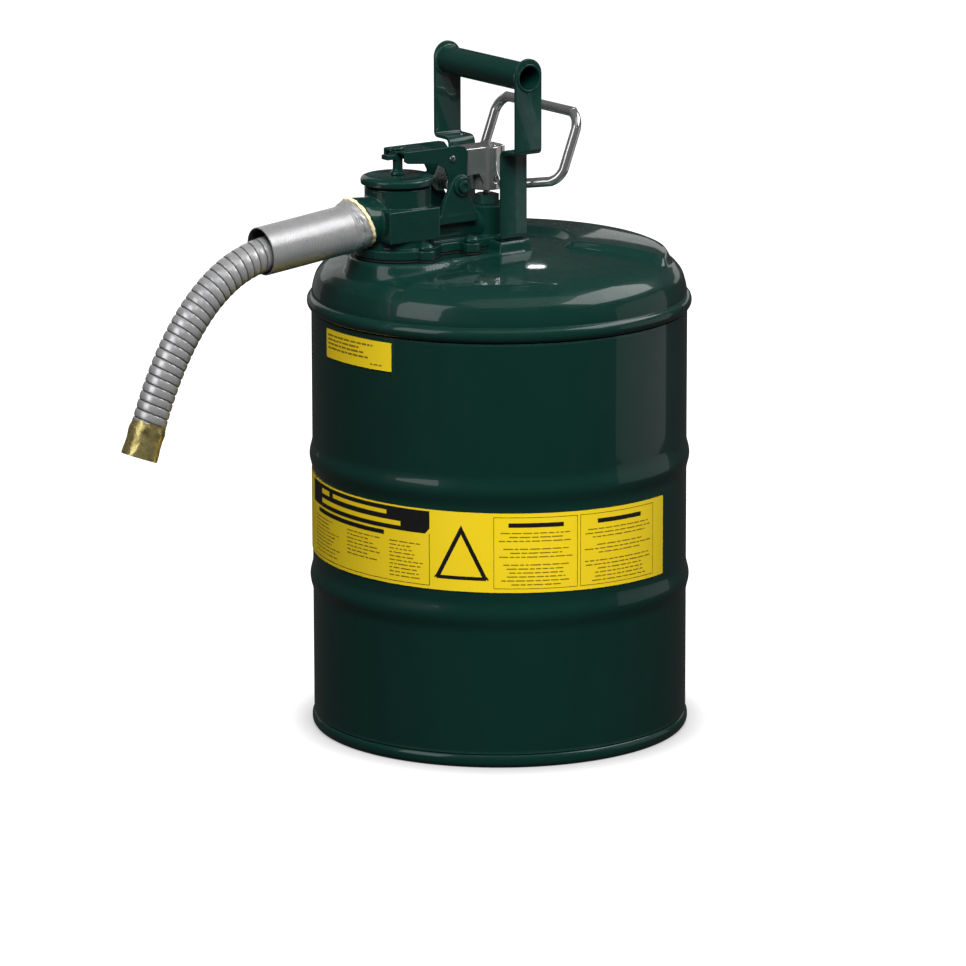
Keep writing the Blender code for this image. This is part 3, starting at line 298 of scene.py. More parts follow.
# ---- Materials ----
class Surface:
    """A Principled material whose colour, roughness and bump come from procedural nodes."""

    def __init__(self, name, metallic=0.0, coat=0.0, coat_roughness=0.03, specular=0.5):
        self.material = bpy.data.materials.new(name)
        self.material.use_nodes = True
        self.tree = self.material.node_tree
        self.shader = self.tree.nodes["Principled BSDF"]
        self.shader.inputs["Metallic"].default_value = metallic
        self.shader.inputs["Coat Weight"].default_value = coat
        self.shader.inputs["Coat Roughness"].default_value = coat_roughness
        self.shader.inputs["Specular IOR Level"].default_value = specular
        self.place = add_node(self.tree, "TexCoord").outputs["Object"]
        self.bump_normal = None

    def noise(self, scale, detail=4.0, roughness=0.55, stretch=None):
        """A noise of the number of cells to a metre given."""
        source = self.place
        if stretch:
            source = add_node(self.tree, "Mapping", {"Scale": stretch}, {"Vector": source}).outputs["Vector"]
        values = {"Scale": scale, "Detail": detail, "Roughness": roughness}
        return add_node(self.tree, "TexNoise", values, {"Vector": source}).outputs["Fac"]

    def attribute(self, name):
        node = add_node(self.tree, "Attribute")
        node.attribute_name = name
        return node.outputs["Fac"]

    def edges(self, sharp, blunt):
        """1 on outer edges, 0 elsewhere, from the mesh's pointiness."""
        return self.between(add_node(self.tree, "NewGeometry").outputs["Pointiness"], blunt, sharp, 0.0, 1.0)

    def between(self, value, low, high, to_low, to_high):
        """The value's range from low to high, stretched to another range."""
        values = {"From Min": low, "From Max": high, "To Min": to_low, "To Max": to_high}
        return add_node(self.tree, "MapRange", values, {"Value": value}).outputs["Result"]

    def product(self, first, second):
        node = add_node(self.tree, "Math", sources={0: first, 1: second})
        node.operation = "MULTIPLY"
        return node.outputs[0]

    def mix(self, share, first, second):
        """Mixes colours, each a tuple or another mix's output."""
        node = add_node(self.tree, "Mix", sources={"Factor": share})
        node.data_type = "RGBA"
        for colour, socket in ((first, node.inputs[6]), (second, node.inputs[7])):
            if isinstance(colour, tuple):
                socket.default_value = (*colour, 1.0)
            else:
                self.tree.links.new(colour, socket)
        return node.outputs[2]

    def colour(self, source):
        self.tree.links.new(source, self.shader.inputs["Base Color"])

    def rough(self, value, low, high, smooth, dull):
        """Roughness from smooth to dull, as the value goes from low to high."""
        self.tree.links.new(self.between(value, low, high, smooth, dull), self.shader.inputs["Roughness"])

    def bump(self, distance, *settings, **more):
        """Adds a noise's bump of the height in metres given; later bumps build on earlier ones."""
        sources = {"Height": self.noise(*settings, **more)}
        if self.bump_normal:
            sources["Normal"] = self.bump_normal
        node = add_node(self.tree, "Bump", {"Distance": distance, "Strength": 1.0}, sources)
        self.bump_normal = node.outputs["Normal"]
        self.tree.links.new(self.bump_normal, self.shader.inputs["Normal"])


def enamel(name, cast=False):
    """Glossy dark green enamel: faint orange peel, fine dust, paler on worn edges."""
    paint = Surface(name, coat=1, coat_roughness=0.07 if cast else 0.05, specular=0.3)
    mottled = paint.mix(paint.noise(14, 3), (0.0022, 0.0225, 0.0170), (0.0034, 0.0290, 0.0222))
    dust = paint.between(paint.noise(900, 5, 0.7), 0.60, 0.80, 0, 0.25)
    dusty = paint.mix(dust, mottled, (0.012, 0.050, 0.041))
    wear = paint.product(paint.edges(0.58, 0.52), paint.noise(180, 3))
    paint.colour(paint.mix(wear, dusty, (0.020, 0.062, 0.052)))
    paint.rough(paint.noise(60), 0.3, 0.7, 0.26, 0.42)
    if cast:
        paint.bump(0.00025, 420, 5)
        paint.bump(0.0007, 90, 2)
    else:
        paint.bump(0.000022, 300, 2)
        paint.bump(0.00016, 26, 2)
    return paint.material


def plating(name):
    """Bright chrome with faint polishing lines, haze and fingermarks."""
    chrome = Surface(name, metallic=0.92)
    chrome.colour(chrome.mix(chrome.noise(70), (0.80, 0.80, 0.79), (0.93, 0.93, 0.92)))
    chrome.rough(chrome.noise(110, 5), 0.35, 0.75, 0.045, 0.17)
    chrome.bump(0.00001, 900, 2, stretch=(1, 1, 0.15))
    chrome.bump(0.00030, 60, 2)
    return chrome.material


def hose_metal(name):
    """Bright formed steel strip, darkened by painted shade in the grooves between its turns."""
    steel = Surface(name, metallic=0.76)
    bare = steel.mix(steel.noise(150, 4), (0.66, 0.66, 0.67), (0.86, 0.86, 0.87))
    # The point attribute is painted shade: it mixes the strip towards near black.
    depth = steel.between(steel.attribute("painted_shade"), 0.15, 1, 0, 0.88)
    steel.colour(steel.mix(depth, bare, (0.045, 0.045, 0.05)))
    steel.rough(steel.noise(220, 5), 0.3, 0.75, 0.27, 0.42)
    steel.bump(0.00003, 1500, 3, stretch=(0.25, 1, 1))
    steel.bump(0.00005, 240, 2)
    return steel.material


def plain_steel(name):
    """Zinc-bright steel of rivets, pins, springs and screens."""
    steel = Surface(name, metallic=1)
    steel.colour(steel.mix(steel.noise(300), (0.48, 0.48, 0.48), (0.75, 0.75, 0.75)))
    steel.rough(steel.noise(500, 4), 0.3, 0.7, 0.22, 0.42)
    steel.bump(0.00004, 900, 3)
    return steel.material


def brass(name):
    """Satin brass with brown tarnish in patches and small dents."""
    metal = Surface(name, metallic=0.85)
    stain = metal.between(metal.noise(150, 5), 0.45, 0.72, 0, 0.9)
    metal.colour(metal.mix(stain, (0.78, 0.66, 0.27), (0.34, 0.27, 0.075)))
    metal.rough(metal.noise(260), 0.3, 0.7, 0.16, 0.36)
    metal.bump(0.0004, 170, 3)
    return metal.material


def rubber(name):
    """Black rubber of gaskets and seals."""
    seal = Surface(name, specular=0.35)
    seal.colour(seal.mix(seal.noise(200), (0.010, 0.010, 0.010), (0.024, 0.024, 0.023)))
    seal.rough(seal.noise(400), 0.3, 0.7, 0.62, 0.85)
    seal.bump(0.00006, 900)
    return seal.material


def fibre(name):
    """Pale pressed fibre with brown stains."""
    washer = Surface(name, specular=0.25)
    pale = washer.mix(washer.noise(500, 5), (0.80, 0.66, 0.36), (0.90, 0.79, 0.52))
    stain = washer.between(washer.noise(110), 0.5, 0.75, 0, 0.7)
    washer.colour(washer.mix(stain, pale, (0.52, 0.38, 0.15)))
    washer.rough(washer.noise(300), 0.3, 0.7, 0.7, 0.95)
    washer.bump(0.0002, 1400, 4)
    return washer.material


def printed(name, low, high, tint_cells, gloss_cells, dullest):
    """Film, or ink as glossy as the film under it: slight unevenness and faint wrinkles."""
    sheet = Surface(name, coat=0.25, coat_roughness=0.22, specular=0.35)
    sheet.colour(sheet.mix(sheet.noise(tint_cells), low, high))
    sheet.rough(sheet.noise(gloss_cells), 0.3, 0.7, 0.38, dullest)
    sheet.bump(0.00010, 40, 2)
    return sheet.material


# ---- Mesh helpers ----
def add_mesh(name, points, faces, materials, smooth_angle=40.0, face_materials=None, painted_shade=None):
    """An object of the faces, smooth but for sharp edges, with an optional painted shade for each point."""
    mesh = bpy.data.meshes.new(name)
    mesh.from_pydata([tuple(p) for p in points], [], faces)
    for made in materials:
        mesh.materials.append(made)
    if face_materials:
        mesh.polygons.foreach_set("material_index", face_materials)
    if painted_shade:
        mesh.attributes.new("painted_shade", "FLOAT", "POINT").data.foreach_set("value", painted_shade)
    bm = bmesh.new()
    bm.from_mesh(mesh)
    bmesh.ops.recalc_face_normals(bm, faces=bm.faces)
    bm.to_mesh(mesh)
    bm.free()
    mesh.shade_smooth()
    mesh.set_sharp_from_angle(angle=math.radians(smooth_angle))
    return placed(name, mesh)


def stand_for(piece, slot, body, *nodes):
    """Makes a piece ride on a body in place of CAD nodes; the slot argument is not used."""
    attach(piece, body)
    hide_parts(*nodes)
    return piece


def filleted(corners, steps=FILLET_STEPS):
    """A closed outline of (radius, height, rounding) corners, each rounded by a curve."""
    outline = []
    for i, (r, z, rounding) in enumerate(corners):
        if not rounding:
            outline.append((r, z))
            continue
        here = Vector((r, z))
        before = Vector(corners[i - 1][:2]) - here
        after = Vector(corners[(i + 1) % len(corners)][:2]) - here
        start = here + before.normalized() * min(rounding, before.length * 0.49)
        end = here + after.normalized() * min(rounding, after.length * 0.49)
        for k in range(steps + 1):
            t = k / steps
            point = start * (1 - t) ** 2 + here * 2 * t * (1 - t) + end * t**2
            outline.append((max(point.x, 0), point.y))
    return outline


def circle(count):
    """The cosine and sine of even steps round a circle."""
    return [(math.cos(math.tau * i / count), math.sin(math.tau * i / count)) for i in range(count)]


def ring_of(place, radius, height, segments):
    return [place @ Vector((radius * c, radius * s, height)) for c, s in circle(segments)]


def around(point, side, up, radius, segments):
    """A ring round a point of a path, square to the path."""
    return [point + (side * c + up * s) * radius for c, s in circle(segments)]


def bridged(rings, closed):
    """Points and faces of rings of equal length, joined in order, and back to the first if closed."""
    size = len(rings[0])
    points = [p for r in rings for p in r]
    faces = []
    pairs = list(zip(range(len(rings)), range(1, len(rings))))
    if closed:
        pairs.append((len(rings) - 1, 0))
    for a, b in pairs:
        for i in range(size):
            k = (i + 1) % size
            faces.append((a * size + i, a * size + k, b * size + k, b * size + i))
    return points, faces


def capped(rings):
    """Points and faces of a tube of rings with both its ends closed."""
    points, faces = bridged(rings, False)
    size, last = len(rings[0]), len(points)
    faces += [tuple(range(size)), tuple(range(last - size, last))]
    return points, faces


def turned(name, outline, material, place=Matrix(), segments=SMALL_ROUND):
    """A closed (radius, height) outline turned about Z, with only a pinhole on the axis."""
    rings = [ring_of(place, max(r, PINHOLE), z, segments) for r, z in outline]
    points, faces = bridged(rings, True)
    return add_mesh(name, points, faces, [material])


def part(name, node, corners, material, slot, body="root", place=Matrix(), segments=SMALL_ROUND):
    """A turned piece with filleted corners, in place of a CAD node."""
    stand_for(turned(name, filleted(corners), material, place, segments), slot, body, node)


def along_x(y, z, x=0.0):
    """A place whose Z axis runs along +X."""
    return Matrix.Translation((x, y, z)) @ Matrix.Rotation(math.radians(90), 4, "Y")


def outwards(start, slope, along):
    """A place whose Z axis runs out towards the hose's end and slopes down, some way along it."""
    place = Matrix.Translation(start) @ Matrix.Rotation(math.radians(90) + slope, 4, "X")
    return place @ Matrix.Translation((0, 0, along))


def outlet_place(along):
    return outwards(OUTLET, OUTLET_SLOPE, along)


def outlet_face_place(along):
    return outwards(OUTLET_FACE, OUTLET_FACE_SLOPE, along)


def smooth_route(points, count):
    """Evenly spaced points along a smooth curve through the route's own points."""
    route = [Vector(p) for p in points]
    ends = [2 * route[0] - route[1]] + route + [2 * route[-1] - route[-2]]
    fine = []
    for a, b, c, d in zip(ends, ends[1:], ends[2:], ends[3:]):
        for i in range(40):
            t = i / 40
            fine.append(0.5 * (2 * b + (c - a) * t + (2 * a - 5 * b + 4 * c - d) * t**2
                               + (3 * b - a - 3 * c + d) * t**3))
    fine.append(route[-1])
    lengths = [0.0]
    for a, b in zip(fine, fine[1:]):
        lengths.append(lengths[-1] + (b - a).length)
    spots, j = [], 0
    for i in range(count):
        target = lengths[-1] * i / (count - 1)
        while j < len(lengths) - 2 and lengths[j + 1] < target:
            j += 1
        share = (target - lengths[j]) / (lengths[j + 1] - lengths[j])
        spots.append(fine[j].lerp(fine[j + 1], share))
    return spots, lengths[-1]


def tube_frames(path):
    """Along a path: (point, side, up) with side and up square to the path and never twisting."""
    frames = []
    side = Vector((1, 0, 0))
    for i, point in enumerate(path):
        ahead = path[min(i + 1, len(path) - 1)] - path[max(i - 1, 0)]
        ahead.normalize()
        side = (side - ahead * side.dot(ahead)).normalized()
        frames.append((point, side, ahead.cross(side)))
    return frames


def rounded_path(corners, radius, steps=10):
    """An open path whose inner corners become arcs."""
    path = [Vector(corners[0])]
    for before, corner, after in zip(corners, corners[1:], corners[2:]):
        corner = Vector(corner)
        into = (Vector(before) - corner).normalized()
        out = (Vector(after) - corner).normalized()
        half = into.angle(out) / 2
        reach = radius / math.tan(half)
        centre = corner + (into + out).normalized() * radius / math.sin(half)
        first = (corner + into * reach - centre).normalized()
        last = (corner + out * reach - centre).normalized()
        for i in range(steps + 1):
            path.append(centre + first.slerp(last, i / steps) * radius)
    path.append(Vector(corners[-1]))
    return path


def applied(obj):
    """Replaces the object's mesh with its modified mesh."""
    graph = bpy.context.evaluated_depsgraph_get()
    mesh = bpy.data.meshes.new_from_object(obj.evaluated_get(graph))
    obj.modifiers.clear()
    obj.data = mesh


def copy_of(name, node, material):
    """A piece with a CAD node's own shape."""
    mesh = frame["nodes"][node].data.copy()
    mesh.materials.clear()
    mesh.materials.append(material)
    return placed(name, mesh)


def softened(name, node, material, voxel, rounds):
    """A copy of a CAD node's solid with its edges rounded, as casting, plating or paint leaves them."""
    obj = copy_of(name, node, material)
    remesh = obj.modifiers.new("remesh", "REMESH")
    remesh.mode = "VOXEL"
    remesh.voxel_size = voxel
    smooth = obj.modifiers.new("smooth", "SMOOTH")
    smooth.factor = 0.5
    smooth.iterations = rounds
    applied(obj)
    obj.data.materials.clear()
    obj.data.materials.append(material)
    obj.data.polygons.foreach_set("material_index", [0] * len(obj.data.polygons))
    obj.data.shade_smooth()
    return obj


def smoothstep(value):
    value = max(0.0, min(1.0, value))
    return value * value * (3 - 2 * value)


# ---- Drum ----
def drum_wall(paint):
    """The drum's wall with its two rolled hoops, very slightly uneven as rolled sheet is."""
    low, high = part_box("body_shell")
    radius = high.x - WALL_INSET
    rows = 150
    outline = []
    for i in range(rows + 1):
        z = low.z + (high.z - low.z) * i / rows
        bulge = 0.0
        for height in HOOP_HEIGHTS:
            share = (z - height) / HOOP_HALF_WIDTH
            if abs(share) < 1:
                bulge += HOOP_BULGE * math.cos(share * math.pi / 2) ** 2
        outline.append((radius + bulge, z))
    rings = [ring_of(Matrix(), r, z, ROUND) for r, z in outline]
    rings += [ring_of(Matrix(), r - SHEET, z, ROUND) for r, z in reversed(outline)]
    for ring in rings:
        for point in ring:
            wave = noise.noise(Vector((point.x * 9, point.y * 9, point.z * 5)))
            point.x *= 1 + wave * WALL_WAVE
            point.y *= 1 + wave * WALL_WAVE
    points, faces = bridged(rings, True)
    stand_for(add_mesh("drum_wall", points, faces, [paint]), "green_paint", "root", "body_shell")


def drum_bottom(paint):
    """The bottom pan with its rolled seam, which the can stands on."""
    outer, _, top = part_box("bottom_pan")[1]
    corners = (
        (0.1318, 0, 0.0006), (outer - 0.0020, 0, 0.0014), (outer, 0.0026, 0.0018),
        (outer, top - 0.0030, 0.0016), (outer - 0.0014, top - 0.0006, 0.0008),
        (outer - 0.0034, top, 0), (0.1340, top, 0), (0.1316, 0.0064, 0.0012),
        (0, 0.0064, 0), (0, 0.0056, 0), (0.1300, 0.0056, 0.0020),
    )
    part("drum_bottom", "bottom_pan", corners, paint, "green_paint", segments=ROUND)


def box_distance(x, y, low, high):
    """How far a point is outside a rectangle with these low and high corners, negative inside."""
    dx = max(low[0] - x, x - high[0])
    dy = max(low[1] - y, y - high[1])
    if dx > 0 and dy > 0:
        return math.hypot(dx, dy)
    return max(dx, dy)


def crown_height(x, y, base):
    """The dome's height with its stamped rear panel, manifold pad and handle pads."""
    radius, angle = math.hypot(x, y), math.atan2(y, x)
    off = abs(math.degrees(math.remainder(angle - math.radians(90), math.tau)))
    sideways = smoothstep((PANEL_SPREAD - off) / 5.0)
    panel = sideways * smoothstep((radius - PANEL_RADII[0]) / 0.010)
    panel *= smoothstep((PANEL_RADII[1] - radius) / 0.0050)
    height = base + PANEL_HEIGHT * panel
    pad = smoothstep((PAD_RADIUS + 0.0040 - math.hypot(x, y - PAD_CENTRE_Y)) / 0.0045)
    corners = (-REAR_PAD_HALF_WIDTH, FILL_Y), (REAR_PAD_HALF_WIDTH, REAR_PAD_END_Y)
    rear = smoothstep((0.0030 - box_distance(x, y, *corners)) / 0.0040)
    height += max(0.0, PAD_Z - PAINT - height) * max(pad, rear)
    for side in (-1, 1):
        low_x, high_x = sorted(side * edge for edge in HANDLE_PAD_X)
        corners = (low_x, GRIP_Y - HANDLE_PAD_HALF_DEPTH), (high_x, GRIP_Y + HANDLE_PAD_HALF_DEPTH)
        foot = box_distance(x, y, *corners)
        height += (HANDLE_PAD_Z - PAINT - height) * smoothstep((0.0022 - foot) / 0.0026)
    return height


def seam_rings():
    """The dome's rolled seam, from its neck over its widest line and under."""
    low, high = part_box("top_dome")
    reach = 0.0044
    middle, half = (SEAM_NECK_Z + low.z) / 2, (SEAM_NECK_Z - low.z) / 2
    rings = []
    for k in range(1, 17):
        turn = math.radians(118 - 13.5 * k)
        radius = high.x - reach + reach * math.cos(turn)
        rings.append(ring_of(Matrix(), radius, middle + PAINT + half * math.sin(turn), DOME_ROUND))
    return rings


def domed_top(paint):
    """The stamped dome and its seam, one sheet on a fine polar grid, open under the manifold."""
    profile, _ = smooth_route([(r, 0, z) for r, z in CROWN], 240)
    rings = []
    for spot in profile[1:]:
        flat = [(spot.x * c, spot.x * s) for c, s in circle(DOME_ROUND)]
        rings.append([Vector((x, y, crown_height(x, y, spot.z))) for x, y in flat])
    points, faces = bridged(rings + seam_rings(), False)
    middle = len(points)
    points.append(Vector((0, 0, CROWN[0][1])))
    faces += [(j, (j + 1) % DOME_ROUND, middle) for j in range(DOME_ROUND)]
    kept = []
    for face in faces:
        centre = sum((points[i] for i in face), Vector()) / len(face)
        if all(math.hypot(centre.x, centre.y - y) > radius for y, radius in MANIFOLD_HOLES):
            kept.append(face)
    obj = add_mesh("domed_top", points, kept, [paint], 60.0)
    sheet = obj.modifiers.new("sheet", "SOLIDIFY")
    sheet.thickness = SHEET
    sheet.offset = -1
    applied(obj)
    stand_for(obj, "green_paint", "root", "top_dome")


# ---- Handle ----
def strap_path(side):
    """The middle line of the bent bar, as (x, z), from its foot to its top."""
    low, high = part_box("handle_strap_right")
    foot = low.z + STRAP_THICKNESS / 2
    corners = (
        (STRAP_LOWER_X - 0.0085, foot, 0), (STRAP_LOWER_X, foot, 0.0030),
        (STRAP_LOWER_X, STRAP_JOG_Z, 0.0052), (STRAP_UPPER_X, STRAP_JOG_Z, 0.0034),
        (STRAP_UPPER_X, high.z, 0),
    )
    return [Vector((side * x, z)) for x, z in filleted(corners, BEND_STEPS)]


def bent_bar(name, side, low, high, paint):
    """The flat bar along its path, square at its top."""
    path = strap_path(side)
    outer, inner = [], []
    for i, point in enumerate(path):
        ahead = path[min(i + 1, len(path) - 1)] - path[max(i - 1, 0)]
        across = Vector((ahead.y, -ahead.x)).normalized() * STRAP_THICKNESS / 2
        outer.append(point + across)
        inner.append(point - across)
    section = outer + inner[::-1]
    rings = [[Vector((p.x, y, p.y)) for p in section] for y in (low.y, high.y)]
    points, faces = bridged(rings, False)
    size = len(section)
    for a in range(len(path) - 1):
        b = size - 1 - a
        faces.append((a, a + 1, b - 1, b))
        faces.append((size + a, size + a + 1, size + b - 1, size + b))
    return add_mesh(name, points, faces, [paint])


def cutter(name, rings):
    tool = add_mesh(name, *capped(rings), [])
    tool.hide_render = True
    return tool


def top_trimmer(ends, low, high):
    """What is outside the bar's round top, between two X planes."""
    half = (high.y - low.y) / 2
    centre_z = high.z - half
    outline = [(GRIP_Y - 0.02, high.z + 0.01), (GRIP_Y - 0.02, centre_z)]
    for k in range(41):
        angle = math.pi * (1 - k / 40)
        outline.append((GRIP_Y + half * math.cos(angle), centre_z + half * math.sin(angle)))
    outline += [(GRIP_Y + 0.02, centre_z), (GRIP_Y + 0.02, high.z + 0.01)]
    return cutter("trim", [[Vector((x, y, z)) for y, z in outline] for x in ends])


def bar_handle(side, word, paint):
    """A flat bar bent outwards, round at its top, with a hole for the grip tube and softened edges."""
    node = f"handle_strap_{word}"
    low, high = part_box(node)
    bar = bent_bar(f"handle_bar_{word}", side, low, high, paint)
    ends = sorted((side * (STRAP_UPPER_X - 0.01), side * (STRAP_UPPER_X + 0.01)))
    tube_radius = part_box("grip_tube")[1].z - GRIP_Z
    bore = [ring_of(along_x(GRIP_Y, GRIP_Z), tube_radius, x, SMALL_ROUND) for x in ends]
    tools = [top_trimmer(ends, low, high), cutter("hole", bore)]
    for tool in tools:
        change = bar.modifiers.new("cut", "BOOLEAN")
        change.operation = "DIFFERENCE"
        change.solver = "EXACT"
        change.object = tool
    bpy.context.view_layer.update()
    applied(bar)
    for tool in tools:
        bpy.data.objects.remove(tool, do_unlink=True)
    soft = bar.modifiers.new("edges", "BEVEL")
    soft.width = 0.0005
    soft.segments = 3
    soft.limit_method = "ANGLE"
    soft.angle_limit = math.radians(50)
    applied(bar)
    bar.data.shade_smooth()
    bar.data.set_sharp_from_angle(angle=math.radians(40))
    stand_for(bar, "green_paint", "root", node)


def weld_bead(side, tube_radius):
    """An uneven bead of weld round the tube where it meets a bar."""
    bead_x = side * (STRAP_UPPER_X - STRAP_THICKNESS / 2)
    place = along_x(GRIP_Y, GRIP_Z)
    rings = []
    for over, along in circle(10):
        ring = []
        for c, s in circle(HOSE_ROUND):
            wobble = 1 + 0.22 * noise.noise(Vector((c * 9, s * 9, side)))
            r = tube_radius + 0.0016 * wobble * over
            ring.append(place @ Vector((r * c, r * s, bead_x + 0.0013 * wobble * along)))
        rings.append(ring)
    return bridged(rings, True)


def grip(paint):
    """The open grip tube with rounded ends and the weld beads that hold it."""
    low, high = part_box("grip_tube")
    outer, inner = high.z - GRIP_Z, 0.0085
    corners = [(r, x, 0.0006) for r, x in ((inner, low.x), (outer, low.x), (outer, high.x), (inner, high.x))]
    rings = [ring_of(along_x(GRIP_Y, GRIP_Z), r, x, HOSE_ROUND) for r, x in filleted(corners)]
    points, faces = bridged(rings, True)
    for side in (-1, 1):
        bead_points, bead_faces = weld_bead(side, outer)
        start = len(points)
        points += bead_points
        faces += [tuple(start + i for i in face) for face in bead_faces]
    stand_for(add_mesh("grip", points, faces, [paint]), "green_paint", "root", "grip_tube")


# ---- Manifold ----
def manifold(paint):
    """The casting with its flange screws and the pivot bolt."""
    casting = softened("manifold", "manifold_casting", paint, 0.0006, 5)
    stand_for(casting, "green_paint", "root", "manifold_casting")
    for number in range(1, 5):
        flange_screw(number, paint)
    bolt_head(paint)


def flange_screw(number, paint):
    """A round-headed screw with a hollow in its head."""
    low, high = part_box(f"flange_screw_{number}")
    head = (high.x - low.x) / 2
    seat = high.z - 0.0044
    corners = (
        (0, seat - 0.02, 0), (0.0030, seat - 0.02, 0), (0.0030, seat, 0), (head, seat, 0.0004),
        (head, seat + 0.0022, 0.0012), (head * 0.62, high.z, 0.0014), (0.0026, high.z, 0.0002),
        (0.0024, seat + 0.0020, 0), (0, seat + 0.0020, 0),
    )
    place = Matrix.Translation(((low.x + high.x) / 2, (low.y + high.y) / 2, 0))
    name, node = f"round_screw_{number}", f"flange_screw_{number}"
    part(name, node, corners, paint, "dark_fastener", place=place)


def bolt_head(paint):
    """The pivot bolt, its stepped head ringed like a washer-faced screw."""
    low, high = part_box("pivot_bolt")
    near = high.x - 0.0042
    corners = (
        (0, low.x, 0), (0.0030, low.x, 0.0004), (0.0030, near, 0), (0.0072, near, 0.0003),
        (0.0072, near + 0.0014, 0.0006), (0.0058, near + 0.0020, 0.0003), (0.0056, near + 0.0012, 0.0002),
        (0.0046, near + 0.0014, 0.0002), (0.0044, high.x, 0.0008), (0.0022, high.x, 0.0003),
        (0.0020, high.x - 0.0012, 0), (0, high.x - 0.0012, 0),
    )
    place = along_x(PIVOT_Y, PIVOT_Z)
    part("pivot_screw", "pivot_bolt", corners, paint, "green_paint", place=place)


# ---- Trigger ----
def trigger(chrome, steel):
    """The squeezed lever with its wire finger loop and pin."""
    lever = softened("lever", "trigger_lever", chrome, 0.00045, 14)
    stand_for(lever, "chrome", "trigger", "trigger_lever")
    corners = list(LOOP_SIDE) + [(-x, y, z) for x, y, z in reversed(LOOP_SIDE)]
    path, _ = smooth_route(rounded_path(corners, LOOP_CORNER), 150)
    rings = [around(*spot, LOOP_WIRE, WIRE_ROUND) for spot in tube_frames(path)]
    loop = add_mesh("finger_loop", *capped(rings), [chrome])
    stand_for(loop, "chrome", "trigger", "trigger_loop")
    low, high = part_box("link_pin")
    half, radius = high.x, (high.z - low.z) / 2
    corners = ((0.0, -half, 0), (radius, -half, 0.0005), (radius, half, 0.0005), (0, half, 0.0))
    part("lever_pin", "link_pin", corners, steel, "bright_steel", "trigger", along_x(ROD_Y, PIVOT_Z))


def closing_spring(steel):
    """The coil between the valve's disc and the chamber's ceiling, which shortens as the disc rises."""
    coil = copy_of("closing_spring", "valve_spring", steel)
    stand_for(coil, "bright_steel", "valve", "valve_spring")
    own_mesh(coil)


# ---- Fill cap ----
def cap(paint, cast_paint, steel):
    """The fill cap with its arm, post and rivets."""
    place = Matrix.Translation((0, FILL_Y, 0))
    low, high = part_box("fill_cap")
    radius, base, top = high.x, low.z, high.z
    corners = (
        (0, top, 0), (0, top - 0.0018, 0), (0.0246, top - 0.0018, 0), (0.0248, base, 0),
        (radius - 0.0004, base, 0.0007), (radius, top - 0.0016, 0.0022), (radius - 0.0035, top, 0.0016),
    )
    part("round_cap", "fill_cap", corners, paint, "green_paint", "fill_cap_arm", place, FINE_ROUND)
    arm = softened("channel_arm", "cap_arm", cast_paint, 0.00035, 4)
    stand_for(arm, "green_paint", "fill_cap_arm", "cap_arm")
    low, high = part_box("cap_stem")
    corners = (
        (0, low.z, 0), (0.0056, low.z, 0.0004), (0.0052, low.z + 0.0022, 0.0010),
        (0.0036, low.z + 0.0034, 0.0010), (0.0036, high.z - 0.0024, 0), (0.0050, high.z - 0.0021, 0.0005),
        (0.0044, high.z - 0.0004, 0.0012), (0, high.z, 0),
    )
    part("cap_post", "cap_stem", corners, cast_paint, "green_paint", "fill_cap_arm", place)
    for side, word in SIDES:
        rivet(side, word, steel)


def rivet(side, word, steel):
    """A bright rivet in one cheek of the arm, its head outwards."""
    low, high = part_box(f"arm_rivet_{word}")
    inside, outside = sorted((abs(low.x), abs(high.x)))
    corners = (
        (0, inside, 0), (0.0014, inside, 0), (0.0014, outside - 0.0015, 0),
        (0.0026, outside - 0.0015, 0.0003), (0.0022, outside - 0.0004, 0.0008), (0, outside, 0),
    )
    middle = Matrix.Translation((0, (low.y + high.y) / 2, (low.z + high.z) / 2))
    place = middle @ Matrix.Rotation(side * math.radians(90), 4, "Y")
    name, node = f"rivet_{word}", f"arm_rivet_{word}"
    part(name, node, corners, steel, "bright_steel", "fill_cap_arm", place)


# ---- Hose ----
def hose_step(share):
    """Height and painted shade across one turn of the interlocked strip, by share of the pitch."""
    depth = 0.0008
    if share < 0.07:
        rise = smoothstep(share / 0.07)
        return depth * rise - depth, 0.9 * (1 - rise)
    if share < 0.86:
        return 0.00022 * math.sin(math.pi * (share - 0.07) / 0.79), 0.0
    if share < 0.92:
        drop = smoothstep((share - 0.86) / 0.06)
        return -depth * drop, drop
    return -depth, 1.0


def hose(steel):
    """The interlocked hose, a helical strip along its route."""
    per_turn = 18
    _, length = smooth_route(HOSE_ROUTE, 2)
    path, _ = smooth_route(HOSE_ROUTE, round(length / HOSE_PITCH * per_turn) + 1)
    rings, painted_shade = [], []
    for i, (point, side, up) in enumerate(tube_frames(path)):
        ring = []
        for j, (c, s) in enumerate(circle(SMALL_ROUND)):
            # dark is painted shade, full in the groove between turns
            height, dark = hose_step((i / per_turn + j / SMALL_ROUND) % 1.0)
            ring.append(point + (side * c + up * s) * (HOSE_RADIUS + height))
            painted_shade.append(dark)
        rings.append(ring)
    tube = add_mesh("ribbed_hose", *capped(rings), [steel], painted_shade=painted_shade)
    return stand_for(tube, "hose_steel", "root", "hose_tube"), path[:: per_turn // 2], length


